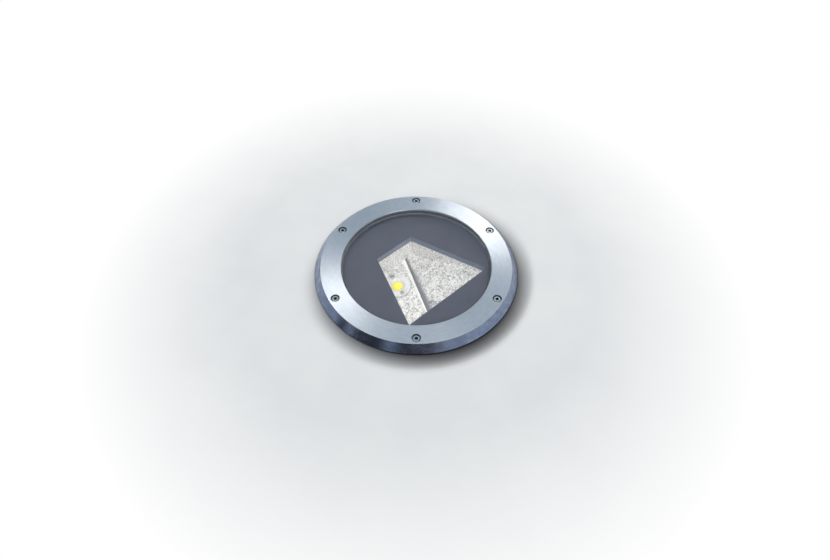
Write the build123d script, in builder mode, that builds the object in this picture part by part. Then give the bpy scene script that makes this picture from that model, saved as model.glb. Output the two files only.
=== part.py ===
from build123d import *
from math import cos, radians, sin, sqrt, tan
import os

# In ground well light: a moulded sleeve that is buried, a ribbed die-cast housing that drops into it,
# a swivelling optic with one LED in a hammered reflector, and a glazed lid under a bevelled steel ring.
# Millimetres, +Z up out of the ground. The origin is the centre of the sleeve's base.

# ---------------------------------------------------------------- driving dimensions
running_gap = 0.3            # between faces of pieces that move apart or turn
thread_gap = 0.05            # round a screw in a washer that grips it
weld = 1.0                   # how far ribs and bosses run into the wall that they stand on
tap_room = 2.0               # a blind hole is this much deeper than what sits in it
grade_z = 150.0              # finished ground above the sleeve's base

# trim ring, whose outer diameter sets the radii of what lies under it
ring_od = 256.0
ring_height = 10.0
ring_rim = 1.0               # upright edge under the bevel
ring_bevel = 8.0             # bevel's width in plan
ring_face_width = 25.4       # flat face, from the opening to the bevel
ring_lip = 2.0               # thickness of the lip over the glass
ring_cover = 5.4             # how far the lip reaches over the glass
ring_edge_break = 0.5
screw_inset = 8.0            # screw centres inside the bevel
screw_count = 6
screw_first_angle = 30.0

# trim screws, M5 socket cap, and what they need
trim_screw_d = 5.0
trim_head_d = 8.5
trim_head_height = 5.0
trim_head_break = 0.4
trim_hex_af = 4.0
trim_hex_depth = 2.5
trim_screw_length = 17.0     # under the head
trim_hole_d = 5.6
trim_bore_d = 11.0           # counterbore
trim_head_sunk = 0.8         # head top below the ring's face
retainer_od = 9.0
retainer_height = 1.2

# glass and its gasket
glass_thick = 8.0
glass_edge_break = 0.8
gasket_wall = 2.0            # web outside the glass edge
gasket_lip = 1.0
gasket_cover = 4.4           # how far the lips reach over the glass

# mask plate and window
mask_thick = 1.5
mask_gap = 0.5               # under the glass
mask_clear = 0.8             # inside the housing's bore
window_turn = -48.2          # plan angle of the window's axis
window_near = -43.0          # short side's place on that axis
window_far = 60.6            # long side's place on that axis
window_near_half = 29.3      # half the short side
window_rim = 3.04            # mask left outside the long side's corners
window_flange = 9.0          # down-turned edge, from the mask's top face
window_flange_thick = 1.2
standoff_af = 7.0
standoff_inset = 10.0        # inside the turntable's edge
standoff_count = 4

# reflectors
fold_turn = 18.4             # plan angle square to the fold between lamp strip and main facet
reflector_sheet = 1.0
reflector_gap = 0.6          # between the window's outline and the reflector walls
reflector_floor_z = 110.0    # upper face of the lamp strip
fold_gap = 0.2               # strip to facet, and walls to the window's turned-down edge
facet_slope = 18.5           # degrees, main facet above the level
fixing_tab = 12.0
strip_tab_places = (30.0, -62.0)   # along the fold
turn_down_cut = 50.0         # length cut away from the facet's turned-down edge
turn_down_cut_v = -84.0      # its middle, along the fold
bracket_u = 56.0             # square to the fold
bracket_foot = 14.0
bracket_width = 26.0
bracket_thick = 1.5

# lamp
lamp_u = -24.0               # square to the fold
lamp_v = 5.9                 # along the fold
lamp_board = 19.0
lamp_board_thick = 1.5
lamp_board_gap = 0.2         # round the board and the emitter in the holder
thermal_pad_thick = 0.5
emitter_d = 13.0
emitter_height = 5.2
emitter_shoulder = 50.0      # degrees from the top at which the dome's arc is steered
holder_d = 36.0
holder_height = 3.6          # above the board
holder_break = 0.8
holder_mouth_d = 21.0
holder_screw_inset = 3.5
holder_screw_angle = 117.0
holder_screw_d = 3.0
holder_head_d = 5.4
holder_head_height = 1.8
pedestal_rim = 0.5           # pedestal and strip hole outside the holder

# heat sink
sink_clear = 21.0            # inside the lower bore
sink_plate = 6.0
sink_fin = 2.4
sink_fin_depth = 10.0
sink_fin_count = 9
sink_fin_pitch = 12.0

# turntable and its bearing in the housing
turntable_clear = 7.0        # inside the upper bore
turntable_thick = 3.0
turntable_slot_inset = 28.0
turntable_slot_d = 15.0
turntable_slot_count = 5
stop_pin_d = 5.0
stop_pin_inset = 6.0         # inside the lower bore
stop_pin_drop = 7.0
stop_lug_width = 7.0
stop_lug_over = 2.0          # how far the lug reaches below the pin
stop_lug_gap = 1.0           # lug to turntable
clip_count = 3
clip_first_angle = 60.0
clip_width = 10.0
clip_tongue = 3.6            # how far a clip reaches over the turntable
clip_thick = 1.5
clip_gap = 0.2
clip_screw_d = 3.0
clip_head_d = 5.4
clip_head_height = 2.0
clip_screw_hold = 4.0        # thread in the ledge

# housing
flange_margin = 3.0          # flange outside the screw bosses
flange_thick = 6.0
wall = 4.0
seat_clear = 0.6             # round the glass gasket
seat_ledge = 9.6             # ledge that carries the gasket
bearing_ledge = 13.0         # ledge that carries the turntable
bearing_z = 100.0
ledge_drop = 8.0             # outside step below the ledge
ledge_cone = 4.0             # height of the sloped step
housing_bottom_z = 45.0
housing_floor = 5.0
housing_corner = 5.0         # sloped corner round the floor
seal_outset = 3.6            # seal's middle outside the gasket's recess
seal_width = 2.2
seal_height = 2.0
seal_groove_width = 2.8
seal_groove_depth = 2.3
boss_d = 13.0
boss_height = 20.0
insert_d = 8.0
insert_length = 14.0
insert_sunk = 1.0
gusset_count = 12
gusset_thick = 3.0
gusset_height = 26.0
gusset_reach = 17.0
gusset_lip = 2.0
fin_count = 24
fin_thick = 2.5
fin_reach = 12.0
fin_top_z = 96.0
fin_bottom_z = 53.0
fin_slant = 3.0              # lower corner cut back
fin_slant_height = 6.0

# hold-down screws, M4 countersunk
hold_count = 3
hold_first_angle = 0.0
hold_outset = 1.5            # outside the trim screws' circle
hold_screw_d = 4.0
hold_head_d = 8.0
hold_screw_length = 14.0
hold_hex_af = 2.3
hold_hex_depth = 1.5
hold_insert_d = 6.4
hold_insert_length = 10.0

# sleeve
sleeve_clear = 0.7           # round the housing's bosses
sleeve_wall = 2.8
sleeve_taper = 9.0           # base radius less than the rim's
sleeve_straight = 40.0       # height of the untapered band under the rim
sleeve_base_thick = 3.0
sleeve_drain_ledge = 48.0    # base left round the drain
sleeve_weep_d = 8.0
sleeve_weep_inset = 25.0
sleeve_weep_count = 6
sleeve_weep_first_angle = 30.0
sleeve_rib_count = 16
sleeve_rib_thick = 3.0
sleeve_rib_proud = 1.0       # ribs and collar outside the rim
sleeve_rib_foot = 4.0
sleeve_rib_shoulder = 24.0   # where the ribs start to slope, below the rim
sleeve_rib_end = 14.0
sleeve_collar_z = 62.0
sleeve_collar_thick = 3.0
lug_reach = 19.0             # lug holes outside the base
lug_d = 16.0
lug_thick = 5.0
lug_hole_d = 6.5
lug_root = 8.0               # how far a lug runs under the base
lug_count = 4
lug_first_angle = 45.0
conduit_bore_d = 25.4
conduit_wall = 3.2
conduit_z = 26.0
conduit_length = 16.0
conduit_proud = 2.6          # sockets outside the rim
sleeve_boss_d = 11.0
sleeve_boss_height = 24.0

# glands, M20
gland_inset = 28.0           # gland centres inside the lower bore
gland_thread_d = 20.0
gland_hex_af = 24.0
gland_hex_height = 6.0
gland_inner_length = 7.0
gland_neck_d = 19.0
gland_neck_length = 9.0
gland_bore_d = 14.0
gland_nut_d = 24.0
gland_nut_height = 17.0
gland_nut_dome = 4.0
gland_nut_mouth_d = 13.0
gland_flute_d = 2.6
gland_flute_out = 0.4        # flute centres outside the nut
gland_flute_count = 12
gland_flute_length = 8.5
gland_seal_bore_d = 9.0
gland_seal_length = 14.0
gland_boss_d = 31.0
gland_boss_drop = 3.0

# gear
tray_end_room = 14.5         # tray's ends inside the lower bore
tray_side_room = 38.0        # tray's sides inside the lower bore
tray_thick = 1.5
tray_lip = 6.0
tray_post_height = 5.0
tray_post_d = 9.0
tray_post_end_inset = 7.0
tray_post_side_inset = 8.0
tray_gland_room = 1.0
tray_screw_hold = 4.0
driver_end_room = 11.5
driver_side_room = 3.5
driver_height = 23.0
driver_corner = 5.0
driver_edge = 1.6
driver_tab = 5.0
driver_tab_width = 12.0
driver_tab_thick = 2.5
driver_tab_hole_d = 3.4
driver_tab_hole_out = 1.6
terminal_side_room = 5.0
terminal_driver_room = 11.5
terminal_length = 34.0
terminal_width = 19.0
terminal_height = 17.0
terminal_shoulder = 9.4
terminal_crown = 12.6
terminal_poles = 3
terminal_pole_pitch = 10.0
terminal_row_pitch = 6.6
terminal_well_d = 4.4
terminal_well_depth = 5.0
terminal_mouth_d = 4.8
terminal_mouth_depth = 6.0
terminal_mouth_rise = 4.8
terminal_screw_d = 4.0
terminal_screw_height = 3.5
small_screw_d = 3.0
small_head_d = 5.4
small_head_height = 2.0
earth_x = 44.0
earth_stud_d = 5.0
earth_stud_height = 11.0
earth_nut_af = 8.0
earth_nut_height = 4.0
breather_d = 15.0
breather_neck_d = 10.0
breather_cap = 4.0
breather_break = 1.2
breather_inset = 28.0        # inside the lower bore

# ---------------------------------------------------------------- radii and places worked out from them
ring_r = ring_od / 2
ring_face_r = ring_r - ring_bevel
ring_opening_r = ring_face_r - ring_face_width
screw_pitch_r = ring_face_r - screw_inset
glass_r = ring_opening_r + ring_cover
gasket_r = glass_r + gasket_wall
pocket_r = gasket_r + running_gap
seat_r = gasket_r + seat_clear
seal_r = seat_r + seal_outset
upper_bore_r = seat_r - seat_ledge
lower_bore_r = upper_bore_r - bearing_ledge
upper_wall_r = upper_bore_r + wall
lower_wall_r = lower_bore_r + wall
flange_r = screw_pitch_r + boss_d / 2 + flange_margin
hold_pitch_r = screw_pitch_r + hold_outset
mask_r = upper_bore_r - mask_clear
turntable_r = upper_bore_r - turntable_clear
clip_pitch_r = (turntable_r + running_gap + upper_bore_r) / 2
standoff_pitch_r = turntable_r - standoff_inset
stop_pin_pitch_r = lower_bore_r - stop_pin_inset
sink_r = lower_bore_r - sink_clear
holder_screw_pitch_r = holder_d / 2 - holder_screw_inset
lamp_hole_r = holder_d / 2 + pedestal_rim
window_far_half = sqrt((mask_r - window_rim) ** 2 - window_far ** 2)
sleeve_bore_r = screw_pitch_r + boss_d / 2 + sleeve_clear
rim_r = sleeve_bore_r + sleeve_wall
base_r = rim_r - sleeve_taper
rib_r = rim_r + sleeve_rib_proud
lug_pitch_r = base_r + lug_reach
conduit_face_x = rim_r + conduit_proud
gland_x = lower_bore_r - gland_inset
gland_places = [(gland_x, 0), (-gland_x, 0)]
breather_place = (0, breather_inset - lower_bore_r)
tray_length = 2 * (lower_bore_r - tray_end_room)
tray_width = 2 * (lower_bore_r - tray_side_room)
tray_screw_x = tray_length / 2 - tray_post_end_inset
tray_screw_y = tray_width / 2 - tray_post_side_inset
tray_screw_places = [
    (x, y)
    for x in (-tray_screw_x, tray_screw_x)
    for y in (-tray_screw_y, tray_screw_y)
]
tray_inner = tray_width / 2 - tray_thick
terminal_y = terminal_side_room + terminal_width / 2 - tray_inner
driver_length = tray_length - 2 * driver_end_room
terminal_share = terminal_driver_room + terminal_width + terminal_side_room
driver_width = 2 * tray_inner - driver_side_room - terminal_share
driver_y = tray_inner - driver_side_room - driver_width / 2
beyond = ring_od             # length that passes clear through the part

# ---------------------------------------------------------------- levels worked out from them
ring_top_z = grade_z + ring_height
glass_top_z = ring_top_z - ring_lip - gasket_lip
glass_bottom_z = glass_top_z - glass_thick
seat_z = glass_bottom_z - gasket_lip
mask_top_z = glass_bottom_z - mask_gap
mask_bottom_z = mask_top_z - mask_thick
flange_bottom_z = grade_z - flange_thick
window_bottom_z = mask_top_z - window_flange
turntable_top_z = bearing_z + turntable_thick
clip_under_z = turntable_top_z + clip_gap
sink_bottom_z = bearing_z - sink_plate - sink_fin_depth
board_top_z = reflector_floor_z
board_bottom_z = board_top_z - lamp_board_thick
pedestal_top_z = board_bottom_z - thermal_pad_thick
floor_top_z = housing_bottom_z + housing_floor
step_z = bearing_z - wall - ledge_drop
tray_bottom_z = floor_top_z + tray_post_height
tray_top_z = tray_bottom_z + tray_thick
screw_head_under_z = ring_top_z - trim_head_sunk - trim_head_height
sleeve_rim_z = flange_bottom_z
slope_rise = tan(radians(facet_slope))

# ---------------------------------------------------------------- shared planes, outlines and small shapes
def level(height, turn=0.0):
    """Horizontal plane at a height, its X axis turned in plan."""
    x_dir = (cos(radians(turn)), sin(radians(turn)), 0)
    return Plane(origin=(0, 0, height), x_dir=x_dir, z_dir=(0, 0, 1))


def upright(turn):
    """Upright plane through the Z axis: X runs out at a plan angle, Y runs up."""
    x_dir = (cos(radians(turn)), sin(radians(turn)), 0)
    z_dir = (sin(radians(turn)), -cos(radians(turn)), 0)
    return Plane(origin=(0, 0, 0), x_dir=x_dir, z_dir=z_dir)


def turned(*outline, mode=Mode.ADD):
    """Turn a closed (radius, height) outline about Z in the part being built."""
    with BuildSketch(Plane.XZ) as section:
        with BuildLine():
            Polyline(*outline, close=True)
        make_face()
    revolve(section.sketch, axis=Axis.Z, mode=mode)


def disc(height, radius, thick, bore=0.0, at=(0, 0), turn=0.0, mode=Mode.ADD):
    """Round plate or washer that stands on a height, in the part being built."""
    with BuildSketch(level(height, turn)) as outline:
        with Locations(at):
            Circle(radius)
            if bore:
                Circle(bore, mode=Mode.SUBTRACT)
    extrude(outline.sketch, amount=thick, mode=mode)


def window_outline(grow):
    """Window's four corners on its own axes, moved outwards by a distance, as a face."""
    with BuildSketch(Plane.XY) as outline:
        with BuildLine():
            Polyline(
                (window_near, -window_near_half),
                (window_far, -window_far_half),
                (window_far, window_far_half),
                (window_near, window_near_half),
                close=True,
            )
        make_face()
        if grow:
            offset(amount=grow, kind=Kind.INTERSECTION)
    return outline.sketch


def window_prism(height, thick, grow, mode=Mode.ADD):
    """Window's outline as a prism that stands on a height, in the part being built."""
    with BuildSketch(level(height, window_turn)) as outline:
        add(window_outline(grow))
    extrude(outline.sketch, amount=thick, mode=mode)


def pan_screw(head_d, head_height, shank_d, shank_length):
    """Small round-head screw, standing with its under-head face at z = 0."""
    with BuildPart() as screw:
        with BuildSketch():
            Circle(head_d / 2)
        extrude(amount=head_height)
        chamfer(screw.edges().group_by(Axis.Z)[-1], head_height / 4)
        with BuildSketch():
            Circle(shank_d / 2)
        extrude(amount=-shank_length)
    return screw.part


def ring_of(piece, height, pitch_r, count, first_angle):
    """Copies of a piece round a circle, in the part being built."""
    with Locations((0, 0, height)):
        with PolarLocations(pitch_r, count, start_angle=first_angle):
            add(piece)


os.makedirs("parts", exist_ok=True)

# ================================================================ LID
# Bevelled stainless ring: flat face, steep outer bevel, six counterbored holes, recess for the glass.
retainer_recess = retainer_height + running_gap
with BuildPart() as trim_ring:
    turned(
        (ring_opening_r + ring_edge_break, ring_top_z),
        (ring_face_r, ring_top_z),
        (ring_r, grade_z + ring_rim),
        (ring_r, grade_z),
        (pocket_r, grade_z),
        (pocket_r, ring_top_z - ring_lip),
        (ring_opening_r, ring_top_z - ring_lip),
        (ring_opening_r, ring_top_z - ring_edge_break),
    )
    with Locations((0, 0, ring_top_z)):
        with PolarLocations(screw_pitch_r, screw_count, start_angle=screw_first_angle):
            CounterBoreHole(
                radius=trim_hole_d / 2,
                counter_bore_radius=trim_bore_d / 2,
                counter_bore_depth=ring_top_z - screw_head_under_z,
            )
    with BuildSketch(level(grade_z)):
        with PolarLocations(screw_pitch_r, screw_count, start_angle=screw_first_angle):
            Circle(retainer_od / 2 + running_gap)
    extrude(amount=retainer_recess, mode=Mode.SUBTRACT)
trim_ring.part.label = "trim_ring"
export_step(trim_ring.part, "parts/trim_ring.step")

# Toughened glass disc with ground edges.
with BuildPart() as cover_glass:
    disc(glass_bottom_z, glass_r, glass_thick)
    chamfer(cover_glass.edges().filter_by(GeomType.CIRCLE), glass_edge_break)
cover_glass.part.label = "cover_glass"
export_step(cover_glass.part, "parts/cover_glass.step")

# Silicone channel gasket that wraps the edge of the glass.
lip_r = glass_r - gasket_cover
with BuildPart() as glass_gasket:
    turned(
        (lip_r, seat_z),
        (gasket_r, seat_z),
        (gasket_r, glass_top_z + gasket_lip),
        (lip_r, glass_top_z + gasket_lip),
        (lip_r, glass_top_z),
        (glass_r, glass_top_z),
        (glass_r, glass_bottom_z),
        (lip_r, glass_bottom_z),
    )
glass_gasket.part.label = "glass_gasket"
export_step(glass_gasket.part, "parts/glass_gasket.step")

# Six captive socket-head screws.
with BuildPart() as trim_screw:
    with BuildSketch():
        Circle(trim_head_d / 2)
    extrude(amount=trim_head_height)
    chamfer(trim_screw.edges().group_by(Axis.Z)[-1], trim_head_break)
    with BuildSketch(level(trim_head_height)):
        RegularPolygon(trim_hex_af / 2, 6, major_radius=False)
    extrude(amount=-trim_hex_depth, mode=Mode.SUBTRACT)
    with BuildSketch():
        Circle(trim_screw_d / 2)
    extrude(amount=-trim_screw_length)
with BuildPart() as trim_screws:
    ring_of(trim_screw.part, screw_head_under_z, screw_pitch_r, screw_count, screw_first_angle)
trim_screws.part.label = "trim_screws"
export_step(trim_screws.part, "parts/trim_screws.step")

# Nylon washers that keep the screws in the ring.
with BuildPart() as retainer:
    disc(0, retainer_od / 2, retainer_height, bore=trim_screw_d / 2 + thread_gap)
with BuildPart() as screw_retainers:
    retainer_z = grade_z + retainer_recess - retainer_height
    ring_of(retainer.part, retainer_z, screw_pitch_r, screw_count, screw_first_angle)
screw_retainers.part.label = "screw_retainers"
export_step(screw_retainers.part, "parts/screw_retainers.step")

# ================================================================ HOUSING
# Die-cast aluminium pot: wide flange with screw bosses and gussets, a bearing ledge where the bore
# steps in, cooling fins round the lower drum, tray posts and two threaded gland bosses in the floor.
with BuildPart() as gusset:
    with BuildSketch(Plane.XZ):
        with BuildLine():
            Polyline(
                (upper_wall_r - weld, flange_bottom_z + weld),
                (upper_wall_r + gusset_reach, flange_bottom_z + weld),
                (upper_wall_r + gusset_reach, flange_bottom_z - gusset_lip),
                (upper_wall_r - weld, flange_bottom_z - gusset_height),
                close=True,
            )
        make_face()
    extrude(amount=gusset_thick / 2, both=True)

with BuildPart() as fin:
    with BuildSketch(Plane.XZ):
        with BuildLine():
            Polyline(
                (lower_wall_r - weld, fin_bottom_z),
                (lower_wall_r + fin_reach - fin_slant, fin_bottom_z),
                (lower_wall_r + fin_reach, fin_bottom_z + fin_slant_height),
                (lower_wall_r + fin_reach, fin_top_z),
                (lower_wall_r - weld, fin_top_z),
                close=True,
            )
        make_face()
    extrude(amount=fin_thick / 2, both=True)

with BuildPart() as housing_body:
    turned(
        (0, housing_bottom_z),
        (lower_wall_r - housing_corner, housing_bottom_z),
        (lower_wall_r, housing_bottom_z + housing_corner),
        (lower_wall_r, step_z),
        (upper_wall_r, step_z + wall + ledge_cone),
        (upper_wall_r, flange_bottom_z),
        (flange_r, flange_bottom_z),
        (flange_r, grade_z),
        (seat_r, grade_z),
        (seat_r, seat_z),
        (upper_bore_r, seat_z),
        (upper_bore_r, bearing_z),
        (lower_bore_r, bearing_z),
        (lower_bore_r, floor_top_z),
        (0, floor_top_z),
    )
    with PolarLocations(0, gusset_count, start_angle=180 / gusset_count):
        add(gusset.part)
    with PolarLocations(0, fin_count, start_angle=180 / fin_count):
        add(fin.part)
    # screw bosses under the flange, bored for their inserts
    with BuildSketch(level(flange_bottom_z)):
        with PolarLocations(screw_pitch_r, screw_count, start_angle=screw_first_angle):
            Circle(boss_d / 2)
    extrude(amount=-boss_height)
    with BuildSketch(level(grade_z)):
        with PolarLocations(screw_pitch_r, screw_count, start_angle=screw_first_angle):
            Circle(insert_d / 2)
    extrude(amount=-insert_sunk - insert_length - tap_room, mode=Mode.SUBTRACT)
    # groove for the flange seal
    disc(
        grade_z - seal_groove_depth,
        seal_r + seal_groove_width / 2,
        seal_groove_depth,
        bore=seal_r - seal_groove_width / 2,
        mode=Mode.SUBTRACT,
    )
    # countersunk hold-down holes
    with Locations((0, 0, grade_z)):
        with PolarLocations(hold_pitch_r, hold_count, start_angle=hold_first_angle):
            CounterSinkHole(
                radius=hold_screw_d / 2 + running_gap,
                counter_sink_radius=hold_head_d / 2 + running_gap,
            )
    # gland bosses under the floor, their threaded holes and the breather's
    with BuildSketch(level(housing_bottom_z + weld)):
        with Locations(*gland_places):
            Circle(gland_boss_d / 2)
    extrude(amount=-gland_boss_drop - weld)
    with BuildSketch(level(floor_top_z)):
        with Locations(*gland_places):
            Circle(gland_thread_d / 2)
        with Locations(breather_place):
            Circle(breather_neck_d / 2)
    extrude(amount=-housing_floor - gland_boss_drop, mode=Mode.SUBTRACT)
    # tapped posts for the gear tray
    with BuildSketch(level(floor_top_z - weld)):
        with Locations(*tray_screw_places):
            Circle(tray_post_d / 2)
    extrude(amount=tray_post_height + weld)
    with BuildSketch(level(tray_bottom_z)):
        with Locations(*tray_screw_places):
            Circle(small_screw_d / 2)
    extrude(amount=-tray_post_height, mode=Mode.SUBTRACT)
    # tapped holes for the turntable clips, in the bearing ledge
    with BuildSketch(level(bearing_z)):
        with PolarLocations(clip_pitch_r, clip_count, start_angle=clip_first_angle):
            Circle(clip_screw_d / 2)
    extrude(amount=-clip_screw_hold - tap_room, mode=Mode.SUBTRACT)
    # stop lug that ends the optic's swivel, opposite the pin
    lug_inner = stop_pin_pitch_r - stop_pin_d / 2
    lug_outer = lower_bore_r + weld
    with BuildSketch(level(bearing_z - stop_pin_drop - stop_lug_over, fold_turn + 180.0)):
        with Locations(((lug_inner + lug_outer) / 2, 0)):
            Rectangle(lug_outer - lug_inner, stop_lug_width)
    extrude(amount=stop_pin_drop + stop_lug_over - stop_lug_gap)
housing_body.part.label = "housing_body"
export_step(housing_body.part, "parts/housing_body.step")

# Steel thread inserts cast into the six bosses.
with BuildPart() as insert:
    disc(0, insert_d / 2, -insert_length, bore=trim_screw_d / 2 + running_gap)
with BuildPart() as boss_inserts:
    ring_of(insert.part, grade_z - insert_sunk, screw_pitch_r, screw_count, screw_first_angle)
boss_inserts.part.label = "boss_inserts"
export_step(boss_inserts.part, "parts/boss_inserts.step")

# Flat seal in the flange groove.
with BuildPart() as flange_seal:
    disc(grade_z - seal_groove_depth, seal_r + seal_width / 2, seal_height, bore=seal_r - seal_width / 2)
flange_seal.part.label = "flange_seal"
export_step(flange_seal.part, "parts/flange_seal.step")

# Three countersunk screws that hold the housing down in the sleeve.
with BuildPart() as hold_screw:
    turned(
        (0, 0),
        (hold_head_d / 2, 0),
        (hold_screw_d / 2, -(hold_head_d - hold_screw_d) / 2),
        (hold_screw_d / 2, -hold_screw_length),
        (0, -hold_screw_length),
    )
    with BuildSketch():
        RegularPolygon(hold_hex_af / 2, 6, major_radius=False)
    extrude(amount=-hold_hex_depth, mode=Mode.SUBTRACT)
with BuildPart() as hold_screws:
    ring_of(hold_screw.part, grade_z - running_gap, hold_pitch_r, hold_count, hold_first_angle)
hold_screws.part.label = "hold_screws"
export_step(hold_screws.part, "parts/hold_screws.step")

# Three bent clips keep the turntable down on its ledge; their outer ends follow the bore.
clip_outer_r = upper_bore_r - running_gap
clip_heel_r = turntable_r + running_gap
clip_height = clip_under_z + clip_thick - bearing_z
with BuildPart() as clip:
    with BuildSketch(Plane.XZ):
        with BuildLine():
            Polyline(
                (clip_heel_r, bearing_z),
                (clip_outer_r, bearing_z),
                (clip_outer_r, clip_under_z + clip_thick),
                (turntable_r - clip_tongue, clip_under_z + clip_thick),
                (turntable_r - clip_tongue, clip_under_z),
                (clip_heel_r, clip_under_z),
                close=True,
            )
        make_face()
    extrude(amount=clip_width / 2, both=True)
    with BuildSketch(level(bearing_z)):
        with Locations((clip_pitch_r, 0)):
            Circle(clip_screw_d / 2)
    extrude(amount=clip_height, mode=Mode.SUBTRACT)
    disc(bearing_z, clip_outer_r, clip_height, mode=Mode.INTERSECT)
with BuildPart() as turntable_clips:
    with PolarLocations(0, clip_count, start_angle=clip_first_angle):
        add(clip.part)
turntable_clips.part.label = "turntable_clips"
export_step(turntable_clips.part, "parts/turntable_clips.step")

# Pan-head screws that fix the clips to the ledge.
clip_screw = pan_screw(clip_head_d, clip_head_height, clip_screw_d, clip_height + clip_screw_hold)
with BuildPart() as clip_screws:
    ring_of(clip_screw, bearing_z + clip_height, clip_pitch_r, clip_count, clip_first_angle)
clip_screws.part.label = "clip_screws"
export_step(clip_screws.part, "parts/clip_screws.step")

# ================================================================ GEAR
# Folded steel tray on four posts, open over the glands.
with BuildPart() as gear_tray:
    with BuildSketch(Plane.YZ):
        with BuildLine():
            Polyline(
                (-tray_width / 2, tray_bottom_z + tray_lip),
                (-tray_width / 2, tray_bottom_z),
                (tray_width / 2, tray_bottom_z),
                (tray_width / 2, tray_bottom_z + tray_lip),
                (tray_inner, tray_bottom_z + tray_lip),
                (tray_inner, tray_top_z),
                (-tray_inner, tray_top_z),
                (-tray_inner, tray_bottom_z + tray_lip),
                close=True,
            )
        make_face()
    extrude(amount=tray_length / 2, both=True)
    with BuildSketch(level(tray_bottom_z)):
        with Locations(*gland_places):
            Circle(gland_thread_d / 2 + tray_gland_room)
        with Locations(*tray_screw_places):
            Circle(small_screw_d / 2)
    extrude(amount=tray_thick, mode=Mode.SUBTRACT)
gear_tray.part.label = "gear_tray"
export_step(gear_tray.part, "parts/gear_tray.step")

# Screws that fix the tray to its posts.
tray_screw = pan_screw(small_head_d, small_head_height, small_screw_d, tray_thick + tray_screw_hold)
with BuildPart() as tray_screws:
    with Locations(*[(x, y, tray_top_z) for x, y in tray_screw_places]):
        add(tray_screw)
tray_screws.part.label = "tray_screws"
export_step(tray_screws.part, "parts/tray_screws.step")

# LED driver: potted case with rounded ends, a softened upper edge and two screw tabs.
with BuildPart() as driver:
    with BuildSketch(level(tray_top_z)):
        with Locations((0, driver_y)):
            RectangleRounded(driver_length, driver_width, driver_corner)
    extrude(amount=driver_height)
    fillet(driver.edges().group_by(Axis.Z)[-1], driver_edge)
    with BuildSketch(level(tray_top_z)):
        with Locations((0, driver_y)):
            SlotOverall(driver_length + 2 * driver_tab, driver_tab_width)
        for side in (-1, 1):
            with Locations((side * (driver_length / 2 + driver_tab_hole_out), driver_y)):
                Circle(driver_tab_hole_d / 2, mode=Mode.SUBTRACT)
    extrude(amount=driver_tab_thick)
driver.part.label = "driver"
export_step(driver.part, "parts/driver.step")

# Terminal block: stepped moulding with screw wells above and wire mouths in its side.
shoulder_z = tray_top_z + terminal_shoulder
crown_z = tray_top_z + terminal_height
with BuildPart() as terminal_block:
    with BuildSketch(Plane.YZ):
        with BuildLine():
            Polyline(
                (terminal_y - terminal_width / 2, tray_top_z),
                (terminal_y + terminal_width / 2, tray_top_z),
                (terminal_y + terminal_width / 2, shoulder_z),
                (terminal_y + terminal_crown / 2, crown_z),
                (terminal_y - terminal_crown / 2, crown_z),
                (terminal_y - terminal_width / 2, shoulder_z),
                close=True,
            )
        make_face()
    extrude(amount=terminal_length / 2, both=True)
    with BuildSketch(level(crown_z)):
        with Locations((0, terminal_y)):
            with GridLocations(terminal_pole_pitch, terminal_row_pitch, terminal_poles, 2):
                Circle(terminal_well_d / 2)
    extrude(amount=-terminal_well_depth, mode=Mode.SUBTRACT)
    with BuildSketch(Plane.XZ.offset(terminal_width / 2 - terminal_y)):
        with Locations((0, tray_top_z + terminal_mouth_rise)):
            with GridLocations(terminal_pole_pitch, terminal_row_pitch, terminal_poles, 1):
                Circle(terminal_mouth_d / 2)
    extrude(amount=-terminal_mouth_depth, mode=Mode.SUBTRACT)
terminal_block.part.label = "terminal_block"
export_step(terminal_block.part, "parts/terminal_block.step")

# Clamping screws at the bottom of the terminal block's wells.
with BuildPart() as terminal_screws:
    with BuildSketch(level(crown_z - terminal_well_depth)):
        with Locations((0, terminal_y)):
            with GridLocations(terminal_pole_pitch, terminal_row_pitch, terminal_poles, 2):
                Circle(terminal_screw_d / 2)
    extrude(amount=terminal_screw_height)
terminal_screws.part.label = "terminal_screws"
export_step(terminal_screws.part, "parts/terminal_screws.step")

# Earth stud with its nut, on the tray beside the terminal block.
with BuildPart() as earth_stud:
    disc(tray_top_z, earth_stud_d / 2, earth_stud_height, at=(earth_x, terminal_y))
    with BuildSketch(level(tray_top_z)):
        with Locations((earth_x, terminal_y)):
            RegularPolygon(earth_nut_af / 2, 6, major_radius=False)
    extrude(amount=earth_nut_height)
earth_stud.part.label = "earth_stud"
export_step(earth_stud.part, "parts/earth_stud.step")

# ================================================================ GLANDS
# Two cable gland bodies hang from the floor: hexagon, thread into the casting, neck for the nut.
gland_top_z = housing_bottom_z - gland_boss_drop
gland_hex_bottom_z = gland_top_z - gland_hex_height
gland_neck_bottom_z = gland_hex_bottom_z - gland_neck_length
with BuildPart() as gland_bodies:
    with BuildSketch(level(gland_top_z)):
        with Locations(*gland_places):
            RegularPolygon(gland_hex_af / 2, 6, major_radius=False)
    extrude(amount=-gland_hex_height)
    with BuildSketch(level(gland_top_z)):
        with Locations(*gland_places):
            Circle(gland_thread_d / 2)
    extrude(amount=gland_inner_length)
    with BuildSketch(level(gland_hex_bottom_z)):
        with Locations(*gland_places):
            Circle(gland_neck_d / 2)
    extrude(amount=-gland_neck_length)
    with BuildSketch(level(gland_neck_bottom_z)):
        with Locations(*gland_places):
            Circle(gland_bore_d / 2)
    extrude(amount=gland_neck_length + gland_hex_height + gland_inner_length, mode=Mode.SUBTRACT)
gland_bodies.part.label = "gland_bodies"
export_step(gland_bodies.part, "parts/gland_bodies.step")

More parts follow.
